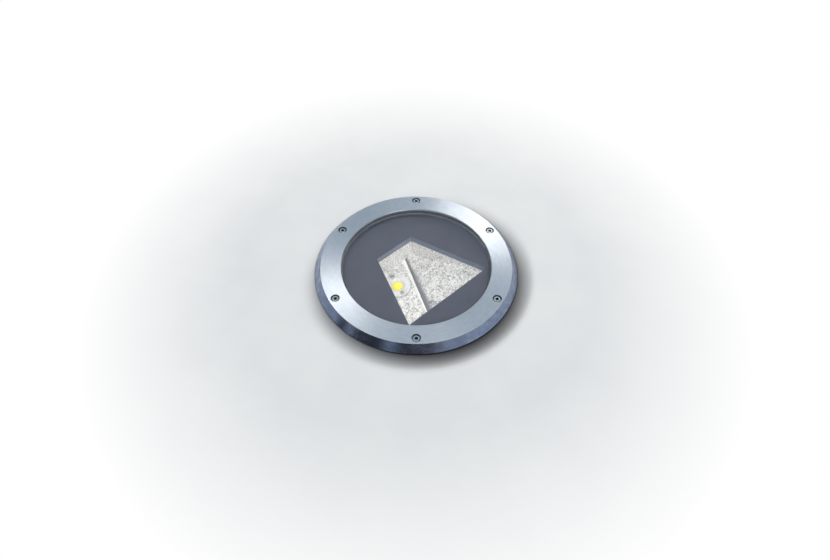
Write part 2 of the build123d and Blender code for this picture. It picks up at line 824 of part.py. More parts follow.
# Silicone sleeves that the nuts squeeze on the cables.
with BuildPart() as gland_seals:
    with BuildSketch(level(gland_neck_bottom_z)):
        with Locations(*gland_places):
            Circle(gland_bore_d / 2)
            Circle(gland_seal_bore_d / 2, mode=Mode.SUBTRACT)
    extrude(amount=gland_seal_length)
gland_seals.part.label = "gland_seals"
export_step(gland_seals.part, "parts/gland_seals.step")

# Domed fluted nuts.
nut_r = gland_nut_d / 2
with BuildPart() as gland_nut:
    turned(
        (gland_neck_d / 2, 0),
        (nut_r, 0),
        (nut_r, -gland_nut_height),
        (gland_nut_mouth_d / 2, -gland_nut_height),
        (gland_nut_mouth_d / 2, -gland_neck_length),
        (gland_neck_d / 2, -gland_neck_length),
    )
    fillet(gland_nut.edges().group_by(Axis.Z)[0].sort_by(SortBy.LENGTH)[-1], gland_nut_dome)
    with BuildSketch():
        with PolarLocations(nut_r + gland_flute_out, gland_flute_count):
            Circle(gland_flute_d / 2)
    extrude(amount=-gland_flute_length, mode=Mode.SUBTRACT)
with BuildPart() as gland_nuts:
    with Locations(*[(x, y, gland_hex_bottom_z) for x, y in gland_places]):
        add(gland_nut.part)
gland_nuts.part.label = "gland_nuts"
export_step(gland_nuts.part, "parts/gland_nuts.step")

# Pressure-equalising breather pressed into the floor.
with BuildPart() as breather:
    disc(housing_bottom_z, breather_neck_d / 2, housing_floor, at=breather_place)
    disc(housing_bottom_z - breather_cap, breather_d / 2, breather_cap, at=breather_place)
    chamfer(breather.edges().group_by(Axis.Z)[0], breather_break)
breather.part.label = "breather"
export_step(breather.part, "parts/breather.step")

# ================================================================ OPTIC
# Turntable: flat ring that turns on the ledge, open where the lamp's pedestal comes through.
pedestal_r = lamp_hole_r
with BuildPart() as turntable:
    disc(bearing_z, turntable_r, turntable_thick)
    with BuildSketch(level(bearing_z, fold_turn)):
        with Locations((lamp_u, lamp_v)):
            Circle(pedestal_r + running_gap)
        with Locations((stop_pin_pitch_r, 0)):
            Circle(stop_pin_d / 2)
        with PolarLocations(
            turntable_r - turntable_slot_inset, turntable_slot_count, start_angle=-90, angular_range=180
        ):
            Circle(turntable_slot_d / 2)
    extrude(amount=turntable_thick, mode=Mode.SUBTRACT)
turntable.part.label = "turntable"
export_step(turntable.part, "parts/turntable.step")

# Pin under the turntable that meets the housing's stop lug.
with BuildPart() as stop_pin:
    disc(
        bearing_z - stop_pin_drop,
        stop_pin_d / 2,
        stop_pin_drop + turntable_thick,
        at=(stop_pin_pitch_r, 0),
        turn=fold_turn,
    )
stop_pin.part.label = "stop_pin"
export_step(stop_pin.part, "parts/stop_pin.step")

# Heat sink: finned disc under the turntable with a pedestal that carries the lamp.
with BuildPart() as heat_sink:
    disc(bearing_z - sink_plate, sink_r, sink_plate)
    with BuildSketch(level(sink_bottom_z, fold_turn)):
        with GridLocations(sink_fin_pitch, sink_fin_pitch, sink_fin_count, 1):
            Rectangle(sink_fin, 2 * sink_r)
        Circle(sink_r, mode=Mode.INTERSECT)
    extrude(amount=sink_fin_depth)
    disc(bearing_z, pedestal_r, pedestal_top_z - bearing_z, at=(lamp_u, lamp_v), turn=fold_turn)
heat_sink.part.label = "heat_sink"
export_step(heat_sink.part, "parts/heat_sink.step")

# Thermal pad under the LED's board.
with BuildPart() as thermal_pad:
    with BuildSketch(level(pedestal_top_z, fold_turn)):
        with Locations((lamp_u, lamp_v)):
            Rectangle(lamp_board, lamp_board)
    extrude(amount=thermal_pad_thick)
thermal_pad.part.label = "thermal_pad"
export_step(thermal_pad.part, "parts/thermal_pad.step")

# LED board, square to the fold.
with BuildPart() as led_board:
    with BuildSketch(level(board_bottom_z, fold_turn)):
        with Locations((lamp_u, lamp_v)):
            Rectangle(lamp_board, lamp_board)
    extrude(amount=lamp_board_thick)
led_board.part.label = "led_board"
export_step(led_board.part, "parts/led_board.step")

# Domed phosphor of the LED.
lamp_plane = Plane(
    origin=level(0, fold_turn).from_local_coords((lamp_u, lamp_v, board_top_z)),
    x_dir=level(0, fold_turn).x_dir,
    z_dir=(0, 0, 1),
)
shoulder_r = emitter_d / 2 * sin(radians(emitter_shoulder))
shoulder_rise = emitter_height * cos(radians(emitter_shoulder))
with BuildPart() as led_emitter:
    with BuildSketch(Plane(origin=lamp_plane.origin, x_dir=lamp_plane.x_dir, z_dir=-lamp_plane.y_dir)):
        with BuildLine():
            dome = ThreePointArc(
                (0, emitter_height),
                (shoulder_r, shoulder_rise),
                (emitter_d / 2, 0),
            )
            Polyline(dome @ 1, (0, 0), dome @ 0)
        make_face()
    revolve(axis=Axis(lamp_plane.origin, (0, 0, 1)))
led_emitter.part.label = "led_emitter"
export_step(led_emitter.part, "parts/led_emitter.step")

# Moulded lamp holder: round frame with a conical mouth, recessed underneath for the board.
holder_bottom = pedestal_top_z - board_top_z
with BuildPart() as led_holder:
    with BuildSketch(lamp_plane.offset(holder_bottom)):
        Circle(holder_d / 2)
    extrude(amount=holder_height - holder_bottom)
    chamfer(led_holder.edges().group_by(Axis.Z)[-1], holder_break)
    with BuildSketch(lamp_plane.offset(holder_bottom)):
        Rectangle(lamp_board + lamp_board_gap, lamp_board + lamp_board_gap)
    extrude(amount=-holder_bottom, mode=Mode.SUBTRACT)
    with BuildSketch(lamp_plane):
        Circle(emitter_d / 2 + lamp_board_gap)
    with BuildSketch(lamp_plane.offset(holder_height)):
        Circle(holder_mouth_d / 2)
    loft(mode=Mode.SUBTRACT)
    with BuildSketch(lamp_plane.offset(holder_bottom)):
        with PolarLocations(holder_screw_pitch_r, 2, start_angle=holder_screw_angle - fold_turn):
            Circle(holder_screw_d / 2)
    extrude(amount=holder_height - holder_bottom, mode=Mode.SUBTRACT)
led_holder.part.label = "led_holder"
export_step(led_holder.part, "parts/led_holder.step")

# Two pan-head screws through the holder, down to the pedestal.
holder_screw = pan_screw(holder_head_d, holder_head_height, holder_screw_d, holder_height - holder_bottom)
with BuildPart() as holder_screws:
    with Locations(lamp_plane.offset(holder_height)):
        with PolarLocations(holder_screw_pitch_r, 2, start_angle=holder_screw_angle - fold_turn):
            add(holder_screw)
holder_screws.part.label = "holder_screws"
export_step(holder_screws.part, "parts/holder_screws.step")

# Lamp strip: level floor of the reflector on the lamp's side of the fold, on two bent tabs.
wall_outer = reflector_gap + reflector_sheet
with BuildPart() as lamp_reflector:
    window_prism(reflector_floor_z - reflector_sheet, reflector_sheet, wall_outer)
    with BuildSketch(level(reflector_floor_z - reflector_sheet, fold_turn)):
        with Locations((-fold_gap - beyond / 2, 0)):
            Rectangle(beyond, 2 * beyond)
    extrude(amount=reflector_sheet, mode=Mode.INTERSECT)
    with BuildSketch(lamp_plane.offset(-reflector_sheet)):
        Circle(lamp_hole_r)
    extrude(amount=reflector_sheet, mode=Mode.SUBTRACT)
    with BuildSketch(level(turntable_top_z, fold_turn)):
        with Locations(*[(lamp_u, tab_v) for tab_v in strip_tab_places]):
            Rectangle(fixing_tab, reflector_sheet)
    extrude(amount=reflector_floor_z - turntable_top_z)
lamp_reflector.part.label = "lamp_reflector"
export_step(lamp_reflector.part, "parts/lamp_reflector.step")


def facet_height(reach):
    """Height of the main facet's upper face at a distance square to the fold."""
    return reflector_floor_z + reach * slope_rise


# Main facet: sloping sheet from the fold up to the window's far side, bent down along the fold.
with BuildPart() as main_reflector:
    with BuildSketch(upright(fold_turn)):
        with BuildLine():
            Polyline(
                (0, facet_height(0)),
                (beyond, facet_height(beyond)),
                (beyond, facet_height(beyond) - reflector_sheet),
                (reflector_sheet, facet_height(reflector_sheet) - reflector_sheet),
                (reflector_sheet, turntable_top_z),
                (0, turntable_top_z),
                close=True,
            )
        make_face()
    extrude(amount=beyond, both=True)
    window_prism(turntable_top_z, window_bottom_z - turntable_top_z, wall_outer, mode=Mode.INTERSECT)
    # the bent edge is cut back to clear the turntable's rim
    with BuildSketch(level(turntable_top_z, fold_turn)):
        with Locations((0, turn_down_cut_v)):
            Rectangle(4 * reflector_sheet, turn_down_cut)
    extrude(amount=reflector_floor_z - reflector_sheet - turntable_top_z, mode=Mode.SUBTRACT)
main_reflector.part.label = "main_reflector"
export_step(main_reflector.part, "parts/main_reflector.step")

# Four-sided reflector wall between the floor pieces and the window's down-turned edge.
surround_height = window_bottom_z - fold_gap - reflector_floor_z
with BuildPart() as reflector_surround:
    window_prism(reflector_floor_z, surround_height, wall_outer)
    window_prism(reflector_floor_z, surround_height, reflector_gap, mode=Mode.SUBTRACT)
    with BuildSketch(upright(fold_turn)):
        with BuildLine():
            Polyline(
                (0, reflector_floor_z - weld),
                (0, facet_height(0)),
                (beyond, facet_height(beyond)),
                (beyond, reflector_floor_z - weld),
                close=True,
            )
        make_face()
    extrude(amount=beyond, both=True, mode=Mode.SUBTRACT)
reflector_surround.part.label = "reflector_surround"
export_step(reflector_surround.part, "parts/reflector_surround.step")

# Bent bracket that props the high side of the main facet on the turntable.
with BuildPart() as reflector_bracket:
    with BuildSketch(upright(fold_turn)):
        with BuildLine():
            Polyline(
                (bracket_u - bracket_foot, turntable_top_z),
                (bracket_u + bracket_thick, turntable_top_z),
                (bracket_u + bracket_thick, facet_height(bracket_u + bracket_thick) - reflector_sheet),
                (bracket_u, facet_height(bracket_u) - reflector_sheet),
                (bracket_u, turntable_top_z + bracket_thick),
                (bracket_u - bracket_foot, turntable_top_z + bracket_thick),
                close=True,
            )
        make_face()
    extrude(amount=bracket_width / 2, both=True)
reflector_bracket.part.label = "reflector_bracket"
export_step(reflector_bracket.part, "parts/reflector_bracket.step")

# Mask: painted disc under the glass with a slanted four-sided window and its down-turned edge.
with BuildPart() as mask_plate:
    disc(mask_bottom_z, mask_r, mask_thick)
    window_prism(window_bottom_z, window_flange, window_flange_thick)
    window_prism(window_bottom_z, window_flange, 0.0, mode=Mode.SUBTRACT)
mask_plate.part.label = "mask_plate"
export_step(mask_plate.part, "parts/mask_plate.step")

# Hexagonal standoffs carry the mask on the turntable, clear of the window.
with BuildPart() as mask_standoffs:
    with BuildSketch(level(turntable_top_z, window_turn)):
        with PolarLocations(standoff_pitch_r, standoff_count):
            RegularPolygon(standoff_af / 2, 6, major_radius=False)
    extrude(amount=mask_bottom_z - turntable_top_z)
mask_standoffs.part.label = "mask_standoffs"
export_step(mask_standoffs.part, "parts/mask_standoffs.step")

# ================================================================ SLEEVE
# Moulded well that is cast into the ground: tapered ribbed wall, drained base, conduit sockets.
taper_z = sleeve_rim_z - sleeve_straight
weep_pitch_r = base_r - sleeve_weep_inset
with BuildPart() as sleeve_rib:
    with BuildSketch(Plane.XZ):
        with BuildLine():
            Polyline(
                (base_r - weld, 0),
                (base_r + sleeve_rib_foot, 0),
                (rib_r, sleeve_collar_z),
                (rib_r, sleeve_rim_z - sleeve_rib_shoulder),
                (rim_r - weld, sleeve_rim_z - sleeve_rib_end),
                (rim_r - 2 * weld, sleeve_rim_z - sleeve_rib_end),
                close=True,
            )
        make_face()
    extrude(amount=sleeve_rib_thick / 2, both=True)

with BuildPart() as sleeve_body:
    # lugs and their holes first, then the shell over them
    with BuildSketch(level(0)):
        with PolarLocations(0, lug_count, start_angle=lug_first_angle):
            with Locations(((base_r - lug_root + lug_pitch_r) / 2, 0)):
                Rectangle(lug_pitch_r - base_r + lug_root, lug_d)
        with PolarLocations(lug_pitch_r, lug_count, start_angle=lug_first_angle):
            Circle(lug_d / 2)
            Circle(lug_hole_d / 2, mode=Mode.SUBTRACT)
    extrude(amount=lug_thick)
    with PolarLocations(0, sleeve_rib_count, start_angle=180 / sleeve_rib_count):
        add(sleeve_rib.part)
    turned(
        (base_r, 0),
        (rim_r, taper_z),
        (rim_r, sleeve_rim_z),
        (0, sleeve_rim_z),
        (0, 0),
    )
    disc(sleeve_collar_z, rib_r, sleeve_collar_thick)
    with BuildSketch(Plane.YZ):
        with Locations((0, conduit_z)):
            Circle(conduit_bore_d / 2 + conduit_wall)
    extrude(amount=conduit_face_x, both=True)
    # hollow it
    turned(
        (0, sleeve_base_thick),
        (base_r - sleeve_wall, sleeve_base_thick),
        (sleeve_bore_r, taper_z),
        (sleeve_bore_r, sleeve_rim_z),
        (0, sleeve_rim_z),
        mode=Mode.SUBTRACT,
    )
    # conduit sockets, which reach a little way inside
    for side in (-1, 1):
        with BuildSketch(Plane.YZ.offset(side * (conduit_face_x - conduit_length))):
            with Locations((0, conduit_z)):
                Circle(conduit_bore_d / 2 + conduit_wall)
        extrude(amount=side * conduit_length)
    with BuildSketch(Plane.YZ):
        with Locations((0, conduit_z)):
            Circle(conduit_bore_d / 2)
    extrude(amount=conduit_face_x, both=True, mode=Mode.SUBTRACT)
    # hold-down bosses and the holes for their inserts
    with BuildSketch(level(sleeve_rim_z)):
        with PolarLocations(hold_pitch_r, hold_count, start_angle=hold_first_angle):
            Circle(sleeve_boss_d / 2)
        with PolarLocations(0, hold_count, start_angle=hold_first_angle):
            with Locations(((hold_pitch_r + rim_r - weld) / 2, 0)):
                Rectangle(rim_r - weld - hold_pitch_r, sleeve_boss_d)
    extrude(amount=-sleeve_boss_height)
    with BuildSketch(level(sleeve_rim_z)):
        with PolarLocations(hold_pitch_r, hold_count, start_angle=hold_first_angle):
            Circle(hold_insert_d / 2)
    extrude(amount=-hold_insert_length - tap_room, mode=Mode.SUBTRACT)
    # drain and weep holes
    with BuildSketch(level(0)):
        Circle(base_r - sleeve_drain_ledge)
        with PolarLocations(weep_pitch_r, sleeve_weep_count, start_angle=sleeve_weep_first_angle):
            Circle(sleeve_weep_d / 2)
    extrude(amount=sleeve_base_thick, mode=Mode.SUBTRACT)
sleeve_body.part.label = "sleeve_body"
export_step(sleeve_body.part, "parts/sleeve_body.step")

# Brass inserts in the sleeve's bosses.
with BuildPart() as sleeve_insert:
    disc(0, hold_insert_d / 2, -hold_insert_length, bore=hold_screw_d / 2 + running_gap)
with BuildPart() as sleeve_inserts:
    ring_of(sleeve_insert.part, sleeve_rim_z, hold_pitch_r, hold_count, hold_first_angle)
sleeve_inserts.part.label = "sleeve_inserts"
export_step(sleeve_inserts.part, "parts/sleeve_inserts.step")
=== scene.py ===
import math
import bmesh
import bpy
from mathutils import Matrix, Vector, noise


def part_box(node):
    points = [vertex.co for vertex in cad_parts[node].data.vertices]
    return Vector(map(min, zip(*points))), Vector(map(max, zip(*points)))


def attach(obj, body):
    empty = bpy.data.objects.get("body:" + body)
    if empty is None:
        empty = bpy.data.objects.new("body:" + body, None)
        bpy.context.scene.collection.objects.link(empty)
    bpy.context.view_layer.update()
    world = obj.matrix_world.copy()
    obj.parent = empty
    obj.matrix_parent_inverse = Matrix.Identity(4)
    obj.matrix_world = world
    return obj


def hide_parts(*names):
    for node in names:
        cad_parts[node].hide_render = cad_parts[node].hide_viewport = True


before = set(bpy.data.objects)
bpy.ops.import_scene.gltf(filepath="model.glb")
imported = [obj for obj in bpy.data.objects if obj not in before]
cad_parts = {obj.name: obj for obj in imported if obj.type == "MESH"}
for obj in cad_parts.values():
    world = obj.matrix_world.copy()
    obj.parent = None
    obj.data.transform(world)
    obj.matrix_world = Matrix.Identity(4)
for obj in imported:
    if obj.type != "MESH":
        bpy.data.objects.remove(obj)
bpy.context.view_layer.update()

# ---------------------------------------------------------------- Trim ring
# Stainless ring that clamps the glass: flat face brushed in circles, smooth steep bevel down to the
# ground, six counterbored screw holes. Turned from plate on a lathe, edges broken, bore relieved for
# the glass and its gasket.
mm = 0.001
ring_outer_r = 128.0
ring_face_r = 120.0
ring_opening_r = 94.6
ring_pocket_r = 102.3
ring_bottom_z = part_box("trim_ring")[0].z / mm
ring_top_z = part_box("trim_ring")[1].z / mm
ring_rim = 1.0               # upright edge under the bevel
ring_lip = 2.0               # metal over the glass's edge
ring_edge_break = 0.5
screw_pitch_r = 112.0
screw_count = 6
screw_first_angle = 30.0
counterbore_r = 5.5
counterbore_depth = 5.8
shank_hole_r = 2.8
retainer_recess_r = 4.8
retainer_recess = 1.5
hair = 0.25                  # width of a hand-broken edge
ring_steps = 240             # sides of the turned shapes
disc_steps = 180
small_steps = 40
cutter_clear = 1.0           # how far a cutting tool stands out past the metal
bore_margin = 0.05           # these tell a surface's faces from their neighbours
face_margin = 0.1


def tone(red, green, blue):
    """Linear colour of a display colour given from 0 to 255."""
    parts = [(part / 255 + 0.055) / 1.055 for part in (red, green, blue)]
    return tuple(part ** 2.4 for part in parts) + (1.0,)


def lathe(outline, steps, closed=True):
    """Spin a (radius, height) outline in millimetres about Z; an open one starts and ends on the axis."""
    shape = bmesh.new()
    points = [shape.verts.new((radius * mm, 0, height * mm)) for radius, height in outline]
    pairs = list(zip(points, points[1:]))
    if closed:
        pairs.append((points[-1], points[0]))
    lines = [shape.edges.new(pair) for pair in pairs]
    bmesh.ops.spin(
        shape, geom=points + lines, cent=(0, 0, 0), axis=(0, 0, 1),
        angle=math.tau, steps=steps, use_merge=True)
    bmesh.ops.remove_doubles(shape, verts=shape.verts, dist=0.001 * mm)
    bmesh.ops.recalc_face_normals(shape, faces=shape.faces)
    return shape


def round_the_axis(shape, pitch_r, count, first_angle):
    """Copies of a shape on a circle about Z, as one bmesh; the shape's own X points outwards."""
    mesh = bpy.data.meshes.new("copy")
    ring = bmesh.new()
    shape.to_mesh(mesh)
    shape.free()
    for turn in range(count):
        before = set(ring.verts)
        ring.from_mesh(mesh)
        new = [vert for vert in ring.verts if vert not in before]
        angle = math.radians(first_angle + turn * 360 / count)
        bmesh.ops.translate(ring, verts=new, vec=(pitch_r * mm, 0, 0))
        bmesh.ops.rotate(ring, verts=new, cent=(0, 0, 0), matrix=Matrix.Rotation(angle, 3, "Z"))
    bpy.data.meshes.remove(mesh)
    return ring


def make_piece(shape, name, finishes, crease=32.0):
    """Turn a bmesh into a named object with its finishes, smooth but for edges past the crease."""
    mesh = bpy.data.meshes.new(name)
    shape.to_mesh(mesh)
    shape.free()
    mesh.shade_smooth()
    mesh.set_sharp_from_angle(angle=math.radians(crease))
    for finish in finishes:
        mesh.materials.append(finish)
    piece = bpy.data.objects.new(name, mesh)
    bpy.context.scene.collection.objects.link(piece)
    return piece


def settle(piece):
    """Make a piece's modifiers part of its mesh."""
    bpy.context.view_layer.update()
    done = bpy.data.meshes.new_from_object(piece.evaluated_get(bpy.context.evaluated_depsgraph_get()))
    old = piece.data
    piece.modifiers.clear()
    piece.data = done
    done.name = old.name
    bpy.data.meshes.remove(old)


def work(piece, tool_shape, operation):
    """Cut a closed tool shape out of a piece (DIFFERENCE) or weld it on (UNION)."""
    tool = make_piece(tool_shape, "tool", [])
    change = piece.modifiers.new("work", "BOOLEAN")
    change.operation = operation
    change.solver = "EXACT"
    change.object = tool
    settle(piece)
    bpy.data.meshes.remove(tool.data)


def break_edges(piece, width, angle=35.0, segments=2):
    """Small rounded break on every edge sharper than the angle, width in millimetres."""
    edge = piece.modifiers.new("edge break", "BEVEL")
    edge.width = width * mm
    edge.segments = segments
    edge.limit_method = "ANGLE"
    edge.angle_limit = math.radians(angle)
    edge.harden_normals = True
    edge.use_clamp_overlap = True


def blank_finish(name):
    """New material, with its nodes, its links and its shader."""
    finish = bpy.data.materials.new(name)
    finish.use_nodes = True
    tree = finish.node_tree
    return finish, tree.nodes, tree.links, tree.nodes["Principled BSDF"]


def feed(links, socket, value):
    """Put a number or colour on a socket, or link an output to it."""
    if isinstance(value, bpy.types.NodeSocket):
        links.new(value, socket)
    else:
        socket.default_value = value


def piece_place(nodes):
    """Place on the piece, in metres."""
    return nodes.new("ShaderNodeTexCoord").outputs["Object"]


def calc(nodes, links, operation, first, second=0.0):
    """One arithmetic step on one or two values."""
    step = nodes.new("ShaderNodeMath")
    step.operation = operation
    feed(links, step.inputs[0], first)
    feed(links, step.inputs[1], second)
    return step.outputs[0]


def circles_place(nodes, links, groove_mm, run_mm):
    """Place for grooves that run round Z: fine across the radius, long along the circle, no seam."""
    apart = nodes.new("ShaderNodeSeparateXYZ")
    links.new(piece_place(nodes), apart.inputs[0])
    across, along, height = apart.outputs
    squares = [calc(nodes, links, "MULTIPLY", side, side) for side in (across, along)]
    radius = calc(nodes, links, "SQRT", calc(nodes, links, "ADD", *squares))
    depth = calc(nodes, links, "ADD", radius, calc(nodes, links, "MULTIPLY", height, 0.7))
    together = nodes.new("ShaderNodeCombineXYZ")
    for socket, side, size_mm in zip(together.inputs, (across, along, depth), (run_mm, run_mm, groove_mm)):
        links.new(calc(nodes, links, "MULTIPLY", side, 1 / (size_mm * mm)), socket)
    return together.outputs[0]


def mottle(nodes, links, place, size_mm, detail=3.0):
    """Noise with blotches about so many millimetres across."""
    cloud = nodes.new("ShaderNodeTexNoise")
    cloud.inputs["Scale"].default_value = 1 / (size_mm * mm)
    cloud.inputs["Detail"].default_value = detail
    links.new(place, cloud.inputs["Vector"])
    return cloud.outputs["Fac"]


def between(nodes, links, value, low, high, start=0.3, end=0.7):
    """Spread a value that runs from start to end over a range from low to high."""
    spread = nodes.new("ShaderNodeMapRange")
    feed(links, spread.inputs["Value"], value)
    spread.inputs["From Min"].default_value = start
    spread.inputs["From Max"].default_value = end
    spread.inputs["To Min"].default_value = low
    spread.inputs["To Max"].default_value = high
    return spread.outputs["Result"]


def blend_colours(nodes, links, share, first, second):
    """Colour between two colours."""
    mix = nodes.new("ShaderNodeMix")
    mix.data_type = "RGBA"
    feed(links, mix.inputs[0], share)
    feed(links, mix.inputs[6], first)
    feed(links, mix.inputs[7], second)
    return mix.outputs[2]


def relief(nodes, links, height, depth_mm, under=None):
    """Bump from a height that runs from 0 to 1, that many millimetres deep."""
    bump = nodes.new("ShaderNodeBump")
    bump.inputs["Distance"].default_value = depth_mm * mm
    links.new(height, bump.inputs["Height"])
    if under:
        links.new(under, bump.inputs["Normal"])
    return bump.outputs["Normal"]


def turned_steel(name, colour, shade, rough, grooves, groove_depth, stretch):
    """Steel finished on a lathe: circular grooves, a highlight stretched across them, faint smears."""
    finish, nodes, links, shader = blank_finish(name)
    circles = circles_place(nodes, links, grooves, 9.0)
    lines = mottle(nodes, links, circles, 1 / mm, 2.0)
    smears = mottle(nodes, links, piece_place(nodes), 14.0, 4.0)
    tint = blend_colours(nodes, links, between(nodes, links, lines, 0.0, 1.0), colour, shade)
    tint = blend_colours(nodes, links, between(nodes, links, smears, 0.0, 0.35), tint, shade)
    links.new(tint, shader.inputs["Base Color"])
    shader.inputs["Metallic"].default_value = 1.0
    fine = between(nodes, links, lines, -0.03, 0.05)
    broad = between(nodes, links, smears, rough - 0.03, rough + 0.03)
    links.new(calc(nodes, links, "ADD", fine, broad), shader.inputs["Roughness"])
    shader.inputs["Anisotropic"].default_value = stretch
    outwards = nodes.new("ShaderNodeVectorMath")
    outwards.operation = "MULTIPLY"
    outwards.inputs[1].default_value = (1, 1, 0)
    links.new(piece_place(nodes), outwards.inputs[0])
    links.new(outwards.outputs[0], shader.inputs["Tangent"])
    links.new(relief(nodes, links, lines, groove_depth), shader.inputs["Normal"])
    return finish


brushed_face = turned_steel(
    "brushed face", tone(204, 210, 216), tone(180, 187, 195),
    rough=0.42, grooves=0.35, groove_depth=0.006, stretch=0.76)
# Painted reflection: the bevel gets a darker, bluer copy of the ring's steel, standing in for the dark
# surroundings it mirrors; its smoother turned finish is real.
turned_bevel_painted_dark = turned_steel(
    "turned bevel, painted dark", tone(164, 172, 192), tone(134, 144, 168),
    rough=0.24, grooves=0.8, groove_depth=0.004, stretch=0.45)
satin_bore = turned_steel(
    "satin bore", tone(186, 194, 206), tone(160, 168, 182),
    rough=0.5, grooves=0.5, groove_depth=0.006, stretch=0.0)
satin_bore.node_tree.nodes["Principled BSDF"].inputs["Metallic"].default_value = 0.35

ring_outline = [
    (ring_opening_r + ring_edge_break, ring_top_z),
    (ring_face_r, ring_top_z),
    (ring_outer_r, ring_bottom_z + ring_rim),
    (ring_outer_r, ring_bottom_z),
    (ring_pocket_r, ring_bottom_z),
    (ring_pocket_r, ring_top_z - ring_lip),
    (ring_opening_r, ring_top_z - ring_lip),
    (ring_opening_r, ring_top_z - ring_edge_break),
]
ring_shape = lathe(ring_outline, ring_steps)
for face in ring_shape.faces:
    middle = face.calc_center_median()
    if middle.xy.length > ring_face_r * mm and middle.z > (ring_bottom_z + face_margin) * mm:
        face.material_index = 1
    elif middle.xy.length < (ring_opening_r + bore_margin) * mm:
        face.material_index = 2
trim_ring = make_piece(ring_shape, "brushed_trim_ring", [brushed_face, turned_bevel_painted_dark, satin_bore])
hole_outline = [
    (0, ring_bottom_z - cutter_clear),
    (retainer_recess_r, ring_bottom_z - cutter_clear),
    (retainer_recess_r, ring_bottom_z + retainer_recess),
    (shank_hole_r, ring_bottom_z + retainer_recess),
    (shank_hole_r, ring_top_z - counterbore_depth),
    (counterbore_r, ring_top_z - counterbore_depth),
    (counterbore_r, ring_top_z + cutter_clear),
    (0, ring_top_z + cutter_clear),
]
hole_shape = lathe(hole_outline, small_steps, closed=False)
work(trim_ring, round_the_axis(hole_shape, screw_pitch_r, screw_count, screw_first_angle), "DIFFERENCE")
break_edges(trim_ring, hair)
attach(trim_ring, "lid")
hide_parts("trim_ring")

# ---------------------------------------------------------------- Trim screws
# Six M5 stainless socket-head screws that pull the ring down on the glass gasket. Cold-headed with a
# rolled thread, a turned top and a broached 4 mm hexagon; painted shade darkens the socket and the thread's
# roots.
head_r = 4.25
head_top_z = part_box("trim_screws")[1].z / mm
head_height = 5.0
head_break = 0.5
hexagon_flats = 4.0
hexagon_depth = 2.5
hexagon_point = 0.25         # cone at the socket's bottom, as a share of the flats
socket_reach = 0.58          # radius that holds the socket's faces, as a share of the flats
thread_r = 2.5
thread_root_r = 2.12
thread_pitch = 0.8
thread_turns = 13
thread_fall = 0.3            # shares of a pitch where the root and the next crest lie
thread_climb = 0.8
plain_end = 1.0
end_chamfer = 0.6
screw_break = 0.08
screw_end_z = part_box("trim_screws")[0].z / mm


def hexagon_tool(flats, depth, top):
    """Six-sided broach that reaches down from a height, its point ground to a shallow cone."""
    tool = bmesh.new()
    made = bmesh.ops.create_circle(tool, cap_ends=True, segments=6, radius=flats / math.sqrt(3) * mm)
    bmesh.ops.translate(tool, verts=made["verts"], vec=(0, 0, (top - depth) * mm))
    sides = bmesh.ops.extrude_face_region(tool, geom=tool.faces[:])
    risen = [part for part in sides["geom"] if isinstance(part, bmesh.types.BMVert)]
    bmesh.ops.translate(tool, verts=risen, vec=(0, 0, (depth + cutter_clear) * mm))
    floor_face = min(tool.faces, key=lambda face: face.calc_center_median().z)
    point = bmesh.ops.poke(tool, faces=[floor_face])["verts"]
    bmesh.ops.translate(tool, verts=point, vec=(0, 0, -hexagon_point * flats * mm))
    bmesh.ops.recalc_face_normals(tool, faces=tool.faces)
    return tool


def screw_finish(name, colour, shade_tone, rough):
    """Bright screw steel with painted shade: darker in its socket and between its threads, where occlusion
    finds hollows.
    """
    finish, nodes, links, shader = blank_finish(name)
    place = piece_place(nodes)
    specks = mottle(nodes, links, place, 0.7, 3.0)
    hollow = nodes.new("ShaderNodeAmbientOcclusion")
    hollow.samples = 6
    hollow.inputs["Distance"].default_value = 2.2 * mm
    # Painted shade: the colour goes towards the dark tone where ambient occlusion finds the socket and the
    # thread's roots.
    recess_shade = between(nodes, links, hollow.outputs["AO"], 1.0, 0.0, 0.25, 0.8)
    worn_share = between(nodes, links, specks, 0.0, 0.5)
    tint = blend_colours(nodes, links, worn_share, colour, tone(150, 158, 166))
    links.new(blend_colours(nodes, links, recess_shade, tint, shade_tone), shader.inputs["Base Color"])
    shader.inputs["Metallic"].default_value = 1.0
    links.new(between(nodes, links, specks, rough - 0.06, rough + 0.08), shader.inputs["Roughness"])
    links.new(relief(nodes, links, specks, 0.012), shader.inputs["Normal"])
    return finish


# The screws' third colour is the painted shade of their hollows.
screw_steel = screw_finish("screw steel", tone(190, 195, 200), tone(38, 38, 42), 0.27)
under_head_z = head_top_z - head_height
thread_top_z = screw_end_z + plain_end + thread_turns * thread_pitch
screw_outline = [
    (0, head_top_z), (head_r - head_break, head_top_z), (head_r, head_top_z - head_break),
    (head_r, under_head_z), (thread_r, under_head_z), (thread_r, thread_top_z),
]
for turn in range(thread_turns):
    crest_z = thread_top_z - turn * thread_pitch
    screw_outline.append((thread_root_r, crest_z - thread_fall * thread_pitch))
    screw_outline.append((thread_r, crest_z - thread_climb * thread_pitch))
screw_outline += [
    (thread_r, screw_end_z + end_chamfer), (thread_r - end_chamfer, screw_end_z), (0, screw_end_z)]
